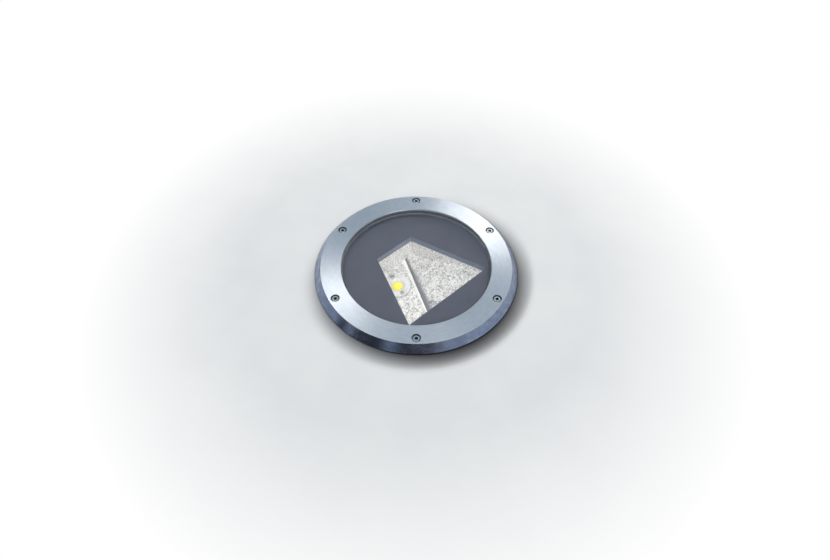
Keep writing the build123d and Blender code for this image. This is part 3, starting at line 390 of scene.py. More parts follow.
# Painted shade: a near-black copy of the screw steel for the faces inside the hexagon socket, standing in for
# the shade there.
socket_shade = screw_finish("socket painted shade", tone(58, 58, 62), tone(16, 16, 18), 0.6)
one_screw = make_piece(lathe(screw_outline, small_steps, closed=False), "one_screw", [screw_steel])
work(one_screw, hexagon_tool(hexagon_flats, hexagon_depth, head_top_z), "DIFFERENCE")
screw_shape = bmesh.new()
screw_shape.from_mesh(one_screw.data)
bpy.data.objects.remove(one_screw)
for face in screw_shape.faces:
    middle = face.calc_center_median() / mm
    inside_socket = middle.xy.length < socket_reach * hexagon_flats
    if inside_socket and under_head_z < middle.z < head_top_z - face_margin:
        face.material_index = 1
trim_screws = make_piece(
    round_the_axis(screw_shape, screw_pitch_r, screw_count, screw_first_angle), "socket_trim_screws",
    [screw_steel, socket_shade])
break_edges(trim_screws, screw_break, angle=50.0, segments=1)
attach(trim_screws, "lid")
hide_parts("trim_screws")

# ---------------------------------------------------------------- Screw retainers
# Thin nylon washers pressed under the ring so that the screws stay in it when the lid is off.
# Punched from natural nylon sheet, milky and slightly waxy.


def moulded(name, colour, second, rough, grain_mm, depth_mm,
            metal=0.0, worn=None, wear_mm=0.5, blotch_mm=16.0):
    """Moulded, cast or painted surface: two close shades, fine grain, and edges rubbed to another shade."""
    finish, nodes, links, shader = blank_finish(name)
    place = piece_place(nodes)
    cloud = mottle(nodes, links, place, blotch_mm, 4.0)
    grain = mottle(nodes, links, place, grain_mm, 3.0)
    tint = blend_colours(nodes, links, between(nodes, links, cloud, 0.0, 1.0), colour, second)
    tint = blend_colours(nodes, links, between(nodes, links, grain, 0.0, 0.35), tint, second)
    broad = between(nodes, links, cloud, -0.05, 0.05)
    fine = between(nodes, links, grain, rough - 0.05, rough + 0.06)
    if worn:
        rounded = nodes.new("ShaderNodeBevel")
        rounded.samples = 4
        rounded.inputs["Radius"].default_value = wear_mm * mm
        surface = nodes.new("ShaderNodeNewGeometry")
        meet = nodes.new("ShaderNodeVectorMath")
        meet.operation = "DOT_PRODUCT"
        links.new(rounded.outputs["Normal"], meet.inputs[0])
        links.new(surface.outputs["Normal"], meet.inputs[1])
        on_edge = between(nodes, links, meet.outputs["Value"], 1.0, 0.0, 0.86, 0.985)
        patches = between(nodes, links, mottle(nodes, links, place, 3.0, 4.0), 0.0, 1.0, 0.42, 0.62)
        tint = blend_colours(nodes, links, calc(nodes, links, "MULTIPLY", on_edge, patches), tint, worn)
    links.new(tint, shader.inputs["Base Color"])
    links.new(calc(nodes, links, "ADD", broad, fine), shader.inputs["Roughness"])
    shader.inputs["Metallic"].default_value = metal
    under = rounded.outputs["Normal"] if worn else None
    links.new(relief(nodes, links, grain, depth_mm, under), shader.inputs["Normal"])
    return finish


def dress(finish, *names):
    """Give CAD nodes whose shape is right their finish."""
    for name in names:
        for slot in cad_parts[name].material_slots:
            slot.material = finish


natural_nylon = moulded(
    "natural nylon", tone(226, 222, 208), tone(210, 205, 190), rough=0.45, grain_mm=0.4, depth_mm=0.01)
natural_nylon.node_tree.nodes["Principled BSDF"].inputs["Subsurface Weight"].default_value = 0.15
dress(natural_nylon, "screw_retainers")

# ---------------------------------------------------------------- Cover glass
# Toughened clear disc, 8 mm thick, clamped under the ring's lip. Float glass cut round, its edge ground
# and its corners chamfered before it was toughened.
glass_r = 100.0
glass_bottom_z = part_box("cover_glass")[0].z / mm
glass_top_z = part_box("cover_glass")[1].z / mm
glass_chamfer = 0.8
clear_glass, nodes, links, shader = blank_finish("clear glass")
smudge = mottle(nodes, links, piece_place(nodes), 22.0, 5.0)
links.new(between(nodes, links, smudge, 0.0, 0.035, 0.45, 0.75), shader.inputs["Roughness"])
glass_tint = blend_colours(nodes, links, smudge, tone(254, 254, 254), tone(251, 252, 252))
links.new(glass_tint, shader.inputs["Base Color"])
shader.inputs["Transmission Weight"].default_value = 1.0
shader.inputs["IOR"].default_value = 1.5
glass_outline = [
    (0, glass_bottom_z), (glass_r - glass_chamfer, glass_bottom_z), (glass_r, glass_bottom_z + glass_chamfer),
    (glass_r, glass_top_z - glass_chamfer), (glass_r - glass_chamfer, glass_top_z), (0, glass_top_z),
]
glass_shape = lathe(glass_outline, disc_steps, closed=False)
cover_glass = make_piece(glass_shape, "toughened_cover_glass", [clear_glass])
cover_glass.visible_shadow = False
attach(cover_glass, "lid")
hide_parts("cover_glass")

# ---------------------------------------------------------------- Glass gasket
# U-shaped silicone channel stretched round the edge of the glass; a thin line of it shows inside the
# ring's lip. Extruded, joined end to end, soft matt pale blue-grey.
gasket_outer_r = 102.0
gasket_lip_r = 94.7
gasket_lip = 1.0
gasket_break = 0.15
grey_silicone = moulded(
    "grey silicone", tone(166, 173, 186), tone(150, 158, 171), rough=0.62, grain_mm=0.5, depth_mm=0.02)
gasket_bottom_z = glass_bottom_z - gasket_lip
gasket_top_z = glass_top_z + gasket_lip
gasket_outline = [
    (gasket_lip_r, gasket_bottom_z), (gasket_outer_r, gasket_bottom_z),
    (gasket_outer_r, gasket_top_z), (gasket_lip_r, gasket_top_z),
    (gasket_lip_r, glass_top_z), (glass_r, glass_top_z), (glass_r, glass_bottom_z),
    (gasket_lip_r, glass_bottom_z),
]
glass_gasket = make_piece(lathe(gasket_outline, disc_steps), "channel_gasket", [grey_silicone])
break_edges(glass_gasket, gasket_break, angle=40.0, segments=1)
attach(glass_gasket, "lid")
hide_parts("glass_gasket")

# ---------------------------------------------------------------- Mask plate
# Blue-grey satin disc just under the glass, with a slanted four-sided window whose edge is turned down
# 9 mm all round. Punched and folded from sheet, powder coated, carried on four standoffs.
mask_r = 92.2
mask_thick = 1.5
mask_top_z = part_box("mask_plate")[1].z / mm
mask_bottom_z = mask_top_z - mask_thick
window_bottom_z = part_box("mask_plate")[0].z / mm
window_turn = -48.2          # plan angle of the window's axis
window_near = -43.0          # short side's place on that axis
window_far = 60.6            # long side's place on that axis
window_near_half = 29.3
window_far_half = 65.4
window_wall = 1.2
weld_depth = 0.3             # the turned-down edge starts this far under the mask's face
fold_round = 0.5
steep = 0.3                  # an upright face's normal leans up by less than this
rim_margin = 1.0


def window_corners(grow):
    """Window's corners in plan, in order round it, each side moved outwards, in metres."""
    plain = [Vector(corner) for corner in (
        (window_near, -window_near_half), (window_far, -window_far_half),
        (window_far, window_far_half), (window_near, window_near_half))]
    turned = [(Matrix.Rotation(math.radians(window_turn), 2) @ corner) * mm for corner in plain]
    moved = []
    for place, corner in enumerate(turned):
        before = (corner - turned[place - 1]).normalized()
        after = (turned[(place + 1) % 4] - corner).normalized()
        out_before, out_after = Vector((before.y, -before.x)), Vector((after.y, -after.x))
        moved.append(corner + (out_before + out_after) * grow * mm / (1 + out_before.dot(out_after)))
    return moved


def window_prism(bottom, top, grow):
    """Closed prism over the window's outline between two heights in millimetres."""
    prism = bmesh.new()
    feet = [prism.verts.new((*corner, bottom * mm)) for corner in window_corners(grow)]
    floor_face = prism.faces.new(feet)
    sides = bmesh.ops.extrude_face_region(prism, geom=[floor_face])
    risen = [part for part in sides["geom"] if isinstance(part, bmesh.types.BMVert)]
    bmesh.ops.translate(prism, verts=risen, vec=(0, 0, (top - bottom) * mm))
    bmesh.ops.recalc_face_normals(prism, faces=prism.faces)
    return prism


mask_paint = moulded(
    "mask paint", tone(66, 69, 85), tone(59, 62, 77), rough=0.5, grain_mm=0.45, depth_mm=0.012,
    worn=tone(140, 148, 162), wear_mm=0.4)
mask_paint.node_tree.nodes["Principled BSDF"].inputs["Specular IOR Level"].default_value = 0.25
# Painted light: a lighter copy of the mask paint for the window's turned-down walls, standing in for the
# light they catch; the rubbed edges are real wear.
flange_lit_paint = moulded(
    "mask flange paint, painted light", tone(118, 126, 146), tone(108, 116, 136), rough=0.45, grain_mm=0.45, depth_mm=0.012,
    worn=tone(168, 176, 190), wear_mm=0.4)
mask_outline = [(0, mask_bottom_z), (mask_r, mask_bottom_z), (mask_r, mask_top_z), (0, mask_top_z)]
mask_shape = lathe(mask_outline, disc_steps, closed=False)
mask_plate = make_piece(mask_shape, "window_mask", [mask_paint, flange_lit_paint])
work(mask_plate, window_prism(window_bottom_z, mask_top_z - weld_depth, window_wall), "UNION")
window_cutter = window_prism(window_bottom_z - cutter_clear, mask_top_z + cutter_clear, 0.0)
work(mask_plate, window_cutter, "DIFFERENCE")
# The upright walls of the window take the painted-light copy of the paint.
for face in mask_plate.data.polygons:
    if abs(face.normal.z) < steep and face.center.xy.length < (mask_r - rim_margin) * mm:
        face.material_index = 1
break_edges(mask_plate, fold_round, angle=40.0, segments=3)
mask_plate.visible_shadow = False
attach(mask_plate, "optic")
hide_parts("mask_plate")

# ---------------------------------------------------------------- Main facet
# Sloping hammered sheet that throws the beam out through the window: aluminium struck all over with a
# ball punch, then brightened and anodised. It rises from the fold and turns down along it.
fold_turn = 18.4             # plan angle square to the fold
facet_slope = 18.5
fold_z = 110.0
facet_span = (0.0, 100.0)    # square to the fold, along the sheet
facet_run = (-100.0, 64.0)   # along the fold
sheet_thick = 1.0
sheet_gap = 0.6              # from the window's outline to the walls
mesh_step = 0.75
blow_mm = 3.4
blow_depth = 0.75
drift_mm = 11                # slow unevenness of the struck sheet
drift_share = 0.5            # of a blow's depth
facet_seed = 3.0
sheet_crease = 60.0          # the struck bowls stay smooth, the sheared edges sharp
turn_down = 7.0
pit_spacing = 7.0


def hammered_grid(span, run, seed):
    """Finely divided level sheet on the fold's axes, dented by shallow bowls that meet in low ridges."""
    sheet = bmesh.new()
    width, length = span[1] - span[0], run[1] - run[0]
    bmesh.ops.create_grid(
        sheet, x_segments=round(width / mesh_step), y_segments=round(length / mesh_step), size=0.5)
    bmesh.ops.scale(sheet, verts=sheet.verts, vec=(width * mm, length * mm, 1))
    bmesh.ops.translate(
        sheet, verts=sheet.verts, vec=((span[0] + span[1]) / 2 * mm, (run[0] + run[1]) / 2 * mm, 0))
    ridge = sheet.verts.layers.float.new("ridge")
    sheet.verts.layers.float.new("fold")
    for vert in sheet.verts:
        place = vert.co / (blow_mm * mm)
        drift = noise.noise(vert.co / (drift_mm * mm) + Vector((seed, 0, 0)))
        nearest, second = noise.voronoi(place + Vector((0, 0, seed)))[0][:2]
        vert[ridge] = 1.0 - min(second - nearest, 1.0)
        vert.co.z += (nearest ** 2 * blow_depth + drift * drift_share * blow_depth - 0.5 * blow_depth) * mm
    return sheet


def put_at_the_fold(sheet):
    """Turn a sheet from level and straight to the fold's own direction and height."""
    turn = Matrix.Rotation(math.radians(fold_turn), 3, "Z")
    bmesh.ops.rotate(sheet, verts=sheet.verts, cent=(0, 0, 0), matrix=turn)
    bmesh.ops.translate(sheet, verts=sheet.verts, vec=(0, 0, fold_z * mm))


def trim_to_window(sheet, grow):
    """Shear a sheet along the upright planes of the window's outline."""
    corners = window_corners(grow)
    for place, corner in enumerate(corners):
        side = corners[(place + 1) % 4] - corner
        bmesh.ops.bisect_plane(
            sheet, geom=sheet.verts[:] + sheet.edges[:] + sheet.faces[:], dist=0.01 * mm,
            plane_co=(*corner, 0), plane_no=(side.y, -side.x, 0), clear_outer=True)


def hammered_metal(name, colour, shade, rough):
    """Bright hammered aluminium with painted shade along the ridges between the blows and in the hollow by
    the fold, and a painted highlight on the rolled edge.
    """
    finish, nodes, links, shader = blank_finish(name)
    place = piece_place(nodes)
    stains = mottle(nodes, links, place, 9.0, 4.0)
    haze = mottle(nodes, links, place, 0.8, 3.0)
    ridges = nodes.new("ShaderNodeAttribute")
    ridges.attribute_name = "ridge"
    # Painted shade: darker along the ridges between the struck bowls, standing in for the shading of their
    # relief.
    ridge_shade = between(nodes, links, ridges.outputs["Fac"], 0.0, 1.0, 0.82, 1.0)
    tint = blend_colours(nodes, links, between(nodes, links, stains, 0.0, 1.0, 0.42, 0.72), colour, shade)
    tint = blend_colours(nodes, links, ridge_shade, tint, tone(134, 135, 138))
    fold = nodes.new("ShaderNodeAttribute")
    fold.attribute_name = "fold"
    # Painted shade in the hollow beside the fold on the main facet.
    hollow = between(nodes, links, fold.outputs["Fac"], 0.0, 0.95, 0.0, 1.0)
    tint = blend_colours(nodes, links, hollow, tint, tone(104, 105, 110))
    # Painted highlight: near white along the strip's rolled edge.
    rolled_highlight = between(nodes, links, fold.outputs["Fac"], 0.0, 0.9, 0.0, -1.0)
    tint = blend_colours(nodes, links, rolled_highlight, tint, tone(252, 252, 250))
    pits = nodes.new("ShaderNodeTexVoronoi")
    pits.inputs["Scale"].default_value = 1 / (pit_spacing * mm)
    links.new(place, pits.inputs["Vector"])
    pit = between(nodes, links, pits.outputs["Distance"], 1.0, 0.0, 0.11, 0.2)
    pitted = calc(nodes, links, "MULTIPLY", pit, between(nodes, links, stains, 0.0, 1.0, 0.48, 0.56))
    links.new(blend_colours(nodes, links, pitted, tint, tone(70, 72, 78)), shader.inputs["Base Color"])
    shader.inputs["Metallic"].default_value = 0.35
    links.new(between(nodes, links, haze, rough - 0.05, rough + 0.12), shader.inputs["Roughness"])
    links.new(relief(nodes, links, haze, 0.02), shader.inputs["Normal"])
    return finish


# Painted shade: the main facet takes a slightly darker copy of the lamp strip's aluminium, so that it looks
# less brightly lit.
facet_aluminium_shaded = hammered_metal("facet aluminium, painted shade", tone(226, 225, 222), tone(198, 198, 196), 0.5)
hammered_aluminium = hammered_metal("hammered aluminium", tone(232, 231, 228), tone(208, 207, 205), 0.5)
fold_hollow_width = (2.5, 8.5)       # width of the hollow beside the fold, dished and painted in shade, far end and near end
fold_widening = 1.6          # it has its full width before the near end
fold_dish = 0.9
facet = hammered_grid(facet_span, facet_run, facet_seed)
fold_layer = facet.verts.layers.float["fold"]
for vert in facet.verts:
    share = (facet_run[1] - vert.co.y / mm) / (facet_run[1] - facet_run[0])
    hollow_width = fold_hollow_width[0] + (fold_hollow_width[1] - fold_hollow_width[0]) * min(share * fold_widening, 1.0)
    vert[fold_layer] = math.exp(-((vert.co.x / mm / hollow_width) ** 4))
    vert.co.z -= fold_dish * mm * vert[fold_layer] * min(vert.co.x / mm / hollow_width, 1.0)
fold_line = [
    edge for edge in facet.edges
    if edge.is_boundary and max(abs(vert.co.x) for vert in edge.verts) < 0.01 * mm
]
slope = Matrix.Rotation(-math.radians(facet_slope), 3, "Y")
bmesh.ops.rotate(facet, verts=facet.verts, cent=(0, 0, 0), matrix=slope)
dropped = bmesh.ops.extrude_edge_only(facet, edges=fold_line)
dropped_verts = [part for part in dropped["geom"] if isinstance(part, bmesh.types.BMVert)]
bmesh.ops.translate(facet, verts=dropped_verts, vec=(0, 0, -turn_down * mm))
put_at_the_fold(facet)
trim_to_window(facet, sheet_gap)
bmesh.ops.recalc_face_normals(facet, faces=facet.faces)
bmesh.ops.solidify(facet, geom=facet.faces[:], thickness=sheet_thick * mm)
main_facet = make_piece(facet, "hammered_main_facet", [facet_aluminium_shaded], sheet_crease)
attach(main_facet, "optic")
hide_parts("main_reflector")

# ---------------------------------------------------------------- Lamp strip
# Level hammered floor beside the fold, pierced for the lamp's holder. The same struck sheet, its edge
# rolled up along the fold so that it stands a little proud of the main facet.
strip_span = (-52.0, -0.2)
strip_run = (-96.0, 52.0)
lamp_u = -24.0               # square to the fold
lamp_v = 5.9                 # along it
lamp_hole_r = 18.5
rolled_rise = (2.0, 3.6)     # at the strip's far end and at its near end
rolled_width = 2.0
strip_seed = 8.0
punch_pull = 0.6             # share of a mesh step from which points are drawn to the punched edge
strip = hammered_grid(strip_span, strip_run, strip_seed)
fold_layer = strip.verts.layers.float["fold"]
lamp_middle = Vector((lamp_u, lamp_v)) * mm
for vert in strip.verts:
    share = (strip_run[1] - vert.co.y / mm) / (strip_run[1] - strip_run[0])
    rise = rolled_rise[0] + (rolled_rise[1] - rolled_rise[0]) * share
    # The negative fold value marks the rolled edge that takes the painted highlight.
    vert[fold_layer] = -math.exp(-((vert.co.x / mm + rolled_width) / rolled_width) ** 2)
    vert.co.z -= rise * mm * vert[fold_layer]
    away = vert.co.xy - lamp_middle
    if abs(away.length - lamp_hole_r * mm) < punch_pull * mesh_step * mm:
        vert.co.xy = lamp_middle + away.normalized() * lamp_hole_r * mm
punched = [
    face for face in strip.faces
    if (face.calc_center_median().xy - lamp_middle).length < (lamp_hole_r - bore_margin) * mm
]
bmesh.ops.delete(strip, geom=punched, context="FACES")
put_at_the_fold(strip)
trim_to_window(strip, sheet_gap)
bmesh.ops.solidify(strip, geom=strip.faces[:], thickness=sheet_thick * mm)
lamp_strip = make_piece(strip, "hammered_lamp_strip", [hammered_aluminium], sheet_crease)
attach(lamp_strip, "optic")
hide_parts("lamp_reflector")

# ---------------------------------------------------------------- Reflector walls
# Four upright hammered strips between the floor pieces and the window's turned-down edge, folded from
# one band of the same sheet and tacked at a corner.


def struck_wall_metal():
    """Hammered aluminium for the narrow walls seen edge on: a lighter copy of the sheet's metal as painted
    light, with the blows in the finish as painted shade along their edges and a bump.
    """
    finish, nodes, links, shader = blank_finish("hammered wall, painted light and shade")
    place = piece_place(nodes)
    cells = nodes.new("ShaderNodeTexVoronoi")
    cells.feature = "DISTANCE_TO_EDGE"
    cells.inputs["Scale"].default_value = 1 / (blow_mm * mm)
    links.new(place, cells.inputs["Vector"])
    stains = mottle(nodes, links, place, 9.0, 4.0)
    # Painted shade: darker lines along the cells' edges, standing in for the shading between the blows.
    ridge = between(nodes, links, cells.outputs["Distance"], 1.0, 0.0, 0.0, 0.14)
    # Painted light: tones lighter than the strip's, for walls that stand in shade.
    tint = blend_colours(nodes, links, stains, tone(246, 245, 242), tone(226, 226, 225))
    links.new(blend_colours(nodes, links, ridge, tint, tone(150, 151, 154)), shader.inputs["Base Color"])
    shader.inputs["Metallic"].default_value = 0.25
    links.new(between(nodes, links, stains, 0.3, 0.42), shader.inputs["Roughness"])
    bowls = calc(nodes, links, "MINIMUM", cells.outputs["Distance"], 0.35)
    links.new(relief(nodes, links, bowls, 1.2), shader.inputs["Normal"])
    return finish


dress(struck_wall_metal(), "reflector_surround")

# ---------------------------------------------------------------- Lamp
# One LED: a dome of yellow phosphor silicone on a white board, held by a moulded white ring with a
# conical mouth and two small screws. The board sits on a grey thermal pad.
yellow_phosphor = moulded(
    "yellow phosphor", tone(236, 214, 66), tone(230, 206, 56), rough=0.4, grain_mm=0.25, depth_mm=0.01,
    blotch_mm=3.0)
phosphor_shader = yellow_phosphor.node_tree.nodes["Principled BSDF"]
phosphor_shader.inputs["Subsurface Weight"].default_value = 0.2
phosphor_shader.inputs["Coat Weight"].default_value = 0.3
phosphor_shader.inputs["Emission Color"].default_value = tone(255, 238, 104)
phosphor_shader.inputs["Emission Strength"].default_value = 0.12
dress(yellow_phosphor, "led_emitter")
holder_white = moulded(
    "holder white", tone(214, 214, 212), tone(182, 183, 185), rough=0.42, grain_mm=1.6, depth_mm=0.05,
    worn=tone(232, 232, 231), blotch_mm=3.4)
dress(holder_white, "led_holder")
board_white = moulded(
    "board white", tone(232, 233, 228), tone(214, 218, 210), rough=0.45, grain_mm=0.5, depth_mm=0.02)
dress(board_white, "led_board")
pad_grey = moulded(
    "thermal pad", tone(132, 136, 142), tone(118, 122, 130), rough=0.75, grain_mm=0.4, depth_mm=0.03)
dress(pad_grey, "thermal_pad")
# Its third colour is the painted shade of the small screws' hollows.
small_screw_steel = screw_finish("small screw steel", tone(196, 200, 204), tone(60, 60, 62), 0.32)
dress(small_screw_steel, "holder_screws", "tray_screws")

# ---------------------------------------------------------------- Turntable, standoffs and bracket
# Zinc-plated steel parts that carry the optic: a pierced disc, four hexagonal standoffs, a bent bracket,
# the stop pin and the clips that hold the disc down. Punched or turned, then bright zinc plated, as the
# gear tray and the terminals' screws are too.
zinc_plate = moulded(
    "zinc plate", tone(196, 200, 200), tone(172, 178, 184), rough=0.34, grain_mm=0.6, depth_mm=0.01,
    metal=1.0, worn=tone(222, 224, 222), blotch_mm=7.0)
dress(zinc_plate, "turntable", "mask_standoffs", "reflector_bracket", "stop_pin", "turntable_clips",
      "clip_screws", "gear_tray", "terminal_screws")

# ---------------------------------------------------------------- Heat sink
# Finned aluminium block under the turntable that takes the lamp's heat into the housing. Extruded and
# faced off on its pedestal, left bare.
bare_aluminium = moulded(
    "bare aluminium", tone(206, 208, 210), tone(186, 189, 193), rough=0.38, grain_mm=0.7, depth_mm=0.015,
    metal=1.0, worn=tone(228, 229, 230))
dress(bare_aluminium, "heat_sink")

# ---------------------------------------------------------------- Housing
# Die-cast aluminium pot with a wide flange, screw bosses, gussets and cooling fins. Cast in one piece,
# bored for the turntable, then coated in dark grey powder that is rubbed thin on its edges.
housing_powder = moulded(
    "housing powder", tone(72, 76, 84), tone(62, 66, 74), rough=0.55, grain_mm=0.55, depth_mm=0.035,
    worn=tone(150, 154, 160), wear_mm=0.6, blotch_mm=30.0)
dress(housing_powder, "housing_body")

# ---------------------------------------------------------------- Seals, glands and breather
# Silicone flange seal and gland seals, black nylon cable glands and a membrane breather, all pressed or
# screwed into the casting. Moulded, satin, slightly paler on their edges.
dress(grey_silicone, "flange_seal", "gland_seals")
gland_nylon = moulded(
    "gland nylon", tone(44, 45, 48), tone(36, 37, 40), rough=0.42, grain_mm=0.5, depth_mm=0.015,
    worn=tone(92, 93, 96))
dress(gland_nylon, "gland_bodies", "gland_nuts", "breather")

# ---------------------------------------------------------------- Fixings and gear
# Countersunk hold-down screws and thread inserts, the boxed driver on its tray, the terminal block and
# the brass earth stud: bought-in parts, each in its maker's usual finish.
dress(screw_steel, "hold_screws", "boss_inserts")
driver_case = moulded(
    "driver case", tone(224, 226, 228), tone(208, 211, 214), rough=0.5, grain_mm=0.8, depth_mm=0.02,
    worn=tone(240, 240, 240))
dress(driver_case, "driver")
terminal_plastic = moulded(
    "terminal plastic", tone(232, 228, 214), tone(218, 213, 198), rough=0.42, grain_mm=0.5, depth_mm=0.015)
dress(terminal_plastic, "terminal_block")
brass = moulded(
    "brass", tone(214, 178, 96), tone(188, 150, 78), rough=0.32, grain_mm=0.5, depth_mm=0.01,
    metal=1.0, worn=tone(236, 206, 130), blotch_mm=4.0)
dress(brass, "earth_stud", "sleeve_inserts")

# ---------------------------------------------------------------- Sleeve
# The buried well: a tapered ribbed tub with a collar, four anchor lugs, two conduit sockets and a drained
# base. Injection moulded in dark grey recycled plastic, dusty where it meets the ground.
soil_height = 34.0           # how far up the soil dust clings
sleeve_plastic = moulded(
    "sleeve plastic", tone(104, 108, 114), tone(90, 94, 100), rough=0.58, grain_mm=0.8, depth_mm=0.04,
    worn=tone(146, 150, 155), wear_mm=0.8, blotch_mm=40.0)
nodes, links = sleeve_plastic.node_tree.nodes, sleeve_plastic.node_tree.links
shader = nodes["Principled BSDF"]
place = piece_place(nodes)
apart = nodes.new("ShaderNodeSeparateXYZ")
links.new(place, apart.inputs[0])
low_down = between(nodes, links, apart.outputs["Z"], 0.85, 0.0, 0.0, soil_height * mm)
splashes = between(nodes, links, mottle(nodes, links, place, 12.0, 5.0), 0.25, 1.0, 0.35, 0.65)
soil = calc(nodes, links, "MULTIPLY", low_down, splashes)
plastic_tint = shader.inputs["Base Color"].links[0].from_socket
links.new(blend_colours(nodes, links, soil, plastic_tint, tone(150, 140, 126)), shader.inputs["Base Color"])
dress(sleeve_plastic, "sleeve_body")

# ---------------------------------------------------------------- Ground
# Plain pale paving at finished level with the round hole that the light sits in, white further out. It is
# one-sided, so that the buried sleeve can be looked at from below the surface.
ground_z = 149.7
ground_hole_r = 123.3
ground_wall = 8.0            # cut edge of the paving that is seen in the hole
ground_full_r = 270.0
white_r = 430.0
ground_end_r = 1500.0
shade_reach = 25.0           # soft shade at the foot of the ring, away from the lamps
shade_power = 3.0
shade_towards = (-0.43, 0.74, 0.52)


def seen_from_above(nodes, links, surface):
    """Make a surface clear from its back."""
    from_below = nodes.new("ShaderNodeNewGeometry").outputs["Backfacing"]
    unseen = nodes.new("ShaderNodeBsdfTransparent")
    one_sided = nodes.new("ShaderNodeMixShader")
    links.new(from_below, one_sided.inputs[0])
    links.new(surface, one_sided.inputs[1])
    links.new(unseen.outputs[0], one_sided.inputs[2])
    links.new(one_sided.outputs[0], nodes["Material Output"].inputs["Surface"])


ground_edge = bmesh.new()
low = ground_edge.verts.new((ground_hole_r * mm, 0, (ground_z - ground_wall) * mm))
inner = ground_edge.verts.new((ground_hole_r * mm, 0, ground_z * mm))
outer = ground_edge.verts.new((ground_end_r * mm, 0, ground_z * mm))
lines = [ground_edge.edges.new(pair) for pair in ((low, inner), (inner, outer))]
bmesh.ops.spin(
    ground_edge, geom=[low, inner, outer] + lines, cent=(0, 0, 0), axis=(0, 0, 1),
    angle=math.tau, steps=disc_steps, use_merge=True)
bmesh.ops.recalc_face_normals(ground_edge, faces=ground_edge.faces)
outermost = max(ground_edge.faces, key=lambda face: face.calc_center_median().xy.length)
if outermost.normal.z < 0:
    bmesh.ops.reverse_faces(ground_edge, faces=ground_edge.faces)
pale_paving, nodes, links, shader = blank_finish("pale paving")
place = piece_place(nodes)
patches = between(nodes, links, mottle(nodes, links, place, 60.0), 0.0, 1.0)
paving_tint = blend_colours(nodes, links, patches, tone(232, 230, 226), tone(227, 225, 222))
shaded = nodes.new("ShaderNodeAmbientOcclusion")
shaded.samples = 12
shaded.inputs["Distance"].default_value = shade_reach * mm
lamp_side = nodes.new("ShaderNodeCombineXYZ")
for socket, share in zip(lamp_side.inputs, shade_towards):
    socket.default_value = share
links.new(lamp_side.outputs[0], shaded.inputs["Normal"])
# Painted shadow: the paving darkens to near black where occlusion, leaned towards the lamps, finds the ring
# at its foot.
open_sky = calc(nodes, links, "POWER", shaded.outputs["AO"], shade_power)
links.new(blend_colours(nodes, links, open_sky, tone(26, 26, 30), paving_tint), shader.inputs["Base Color"])
shader.inputs["Roughness"].default_value = 0.75
shader.inputs["Specular IOR Level"].default_value = 0.2
middle_distance = nodes.new("ShaderNodeVectorMath")
middle_distance.operation = "LENGTH"
links.new(place, middle_distance.inputs[0])
fade = between(nodes, links, middle_distance.outputs["Value"], 0.0, 1.0, ground_full_r * mm, white_r * mm)
white_out = nodes.new("ShaderNodeEmission")
whitened = nodes.new("ShaderNodeMixShader")
links.new(fade, whitened.inputs[0])
links.new(shader.outputs[0], whitened.inputs[1])
links.new(white_out.outputs[0], whitened.inputs[2])
seen_from_above(nodes, links, whitened.outputs[0])
ground = make_piece(ground_edge, "ground", [pale_paving])

# ---------------------------------------------------------------- Bedding
# Damp sand and gravel that the sleeve stands on, seen through the drain and the weep holes when the
# housing is out. Only as wide as the base, and one-sided.
bedding_r = 104.0
bedding_z = -1.0
bedding_shape = bmesh.new()
made = bmesh.ops.create_circle(bedding_shape, cap_ends=True, segments=72, radius=bedding_r * mm)
bmesh.ops.translate(bedding_shape, verts=made["verts"], vec=(0, 0, bedding_z * mm))
if bedding_shape.faces[:][0].normal.z < 0:
    bmesh.ops.reverse_faces(bedding_shape, faces=bedding_shape.faces)
damp_sand, nodes, links, shader = blank_finish("damp sand")
grit = mottle(nodes, links, piece_place(nodes), 2.2, 4.0)
wet_share = between(nodes, links, grit, 0.0, 1.0)
sand_tint = blend_colours(nodes, links, wet_share, tone(92, 82, 70), tone(62, 55, 48))
links.new(sand_tint, shader.inputs["Base Color"])
links.new(between(nodes, links, grit, 0.7, 0.9), shader.inputs["Roughness"])
links.new(relief(nodes, links, grit, 0.8), shader.inputs["Normal"])
seen_from_above(nodes, links, shader.outputs[0])
bedding = make_piece(bedding_shape, "bedding", [damp_sand])

# ---------------------------------------------------------------- Studio
# A pale room, a soft lamp high on the left, one low behind on the right, a high fill in front and one more
# that leaves the lid, the mask and the paving unlit. The dark screens and the pale card round the ring are
# seen only in reflections.
aim = Vector((0, 0, ring_top_z * mm))
warm_white = (1.0, 0.945, 0.885)
fill_white = (1.0, 0.97, 0.93)
fill_out = Vector((0.15, -0.57, 0.81)).normalized()
soft_lamps = [                # name, plan angle, height in degrees, distance, width, power
    ("high_lamp", 143.0, 52.0, 1.9, 0.75, 8.5),
    ("low_lamp", 69.0, 27.0, 1.6, 0.75, 9.5),
    ("front_fill", -62.0, 50.0, 1.7, 0.8, 6.5),
]


def hang_lamp(name, out, away, width, power, colour):
    """Round soft lamp that looks at the ring's middle from a direction; distance and width in metres."""
    light = bpy.data.lights.new(name, "AREA")
    light.shape = "DISK"
    light.size = width
    light.energy = power
    light.color = colour
    stand = bpy.data.objects.new(name, light)
    stand.location = aim + out * away
    stand.rotation_euler = out.to_track_quat("Z", "Y").to_euler()
    bpy.context.scene.collection.objects.link(stand)
    return stand


def keep_light_off(stand, name, pieces):
    """Leave some pieces unlit by a lamp."""
    spared = bpy.data.collections.new(name)
    for piece in pieces:
        spared.objects.link(piece)
    for entry in spared.collection_objects:
        entry.light_linking.link_state = "EXCLUDE"
    stand.light_linking.receiver_collection = spared


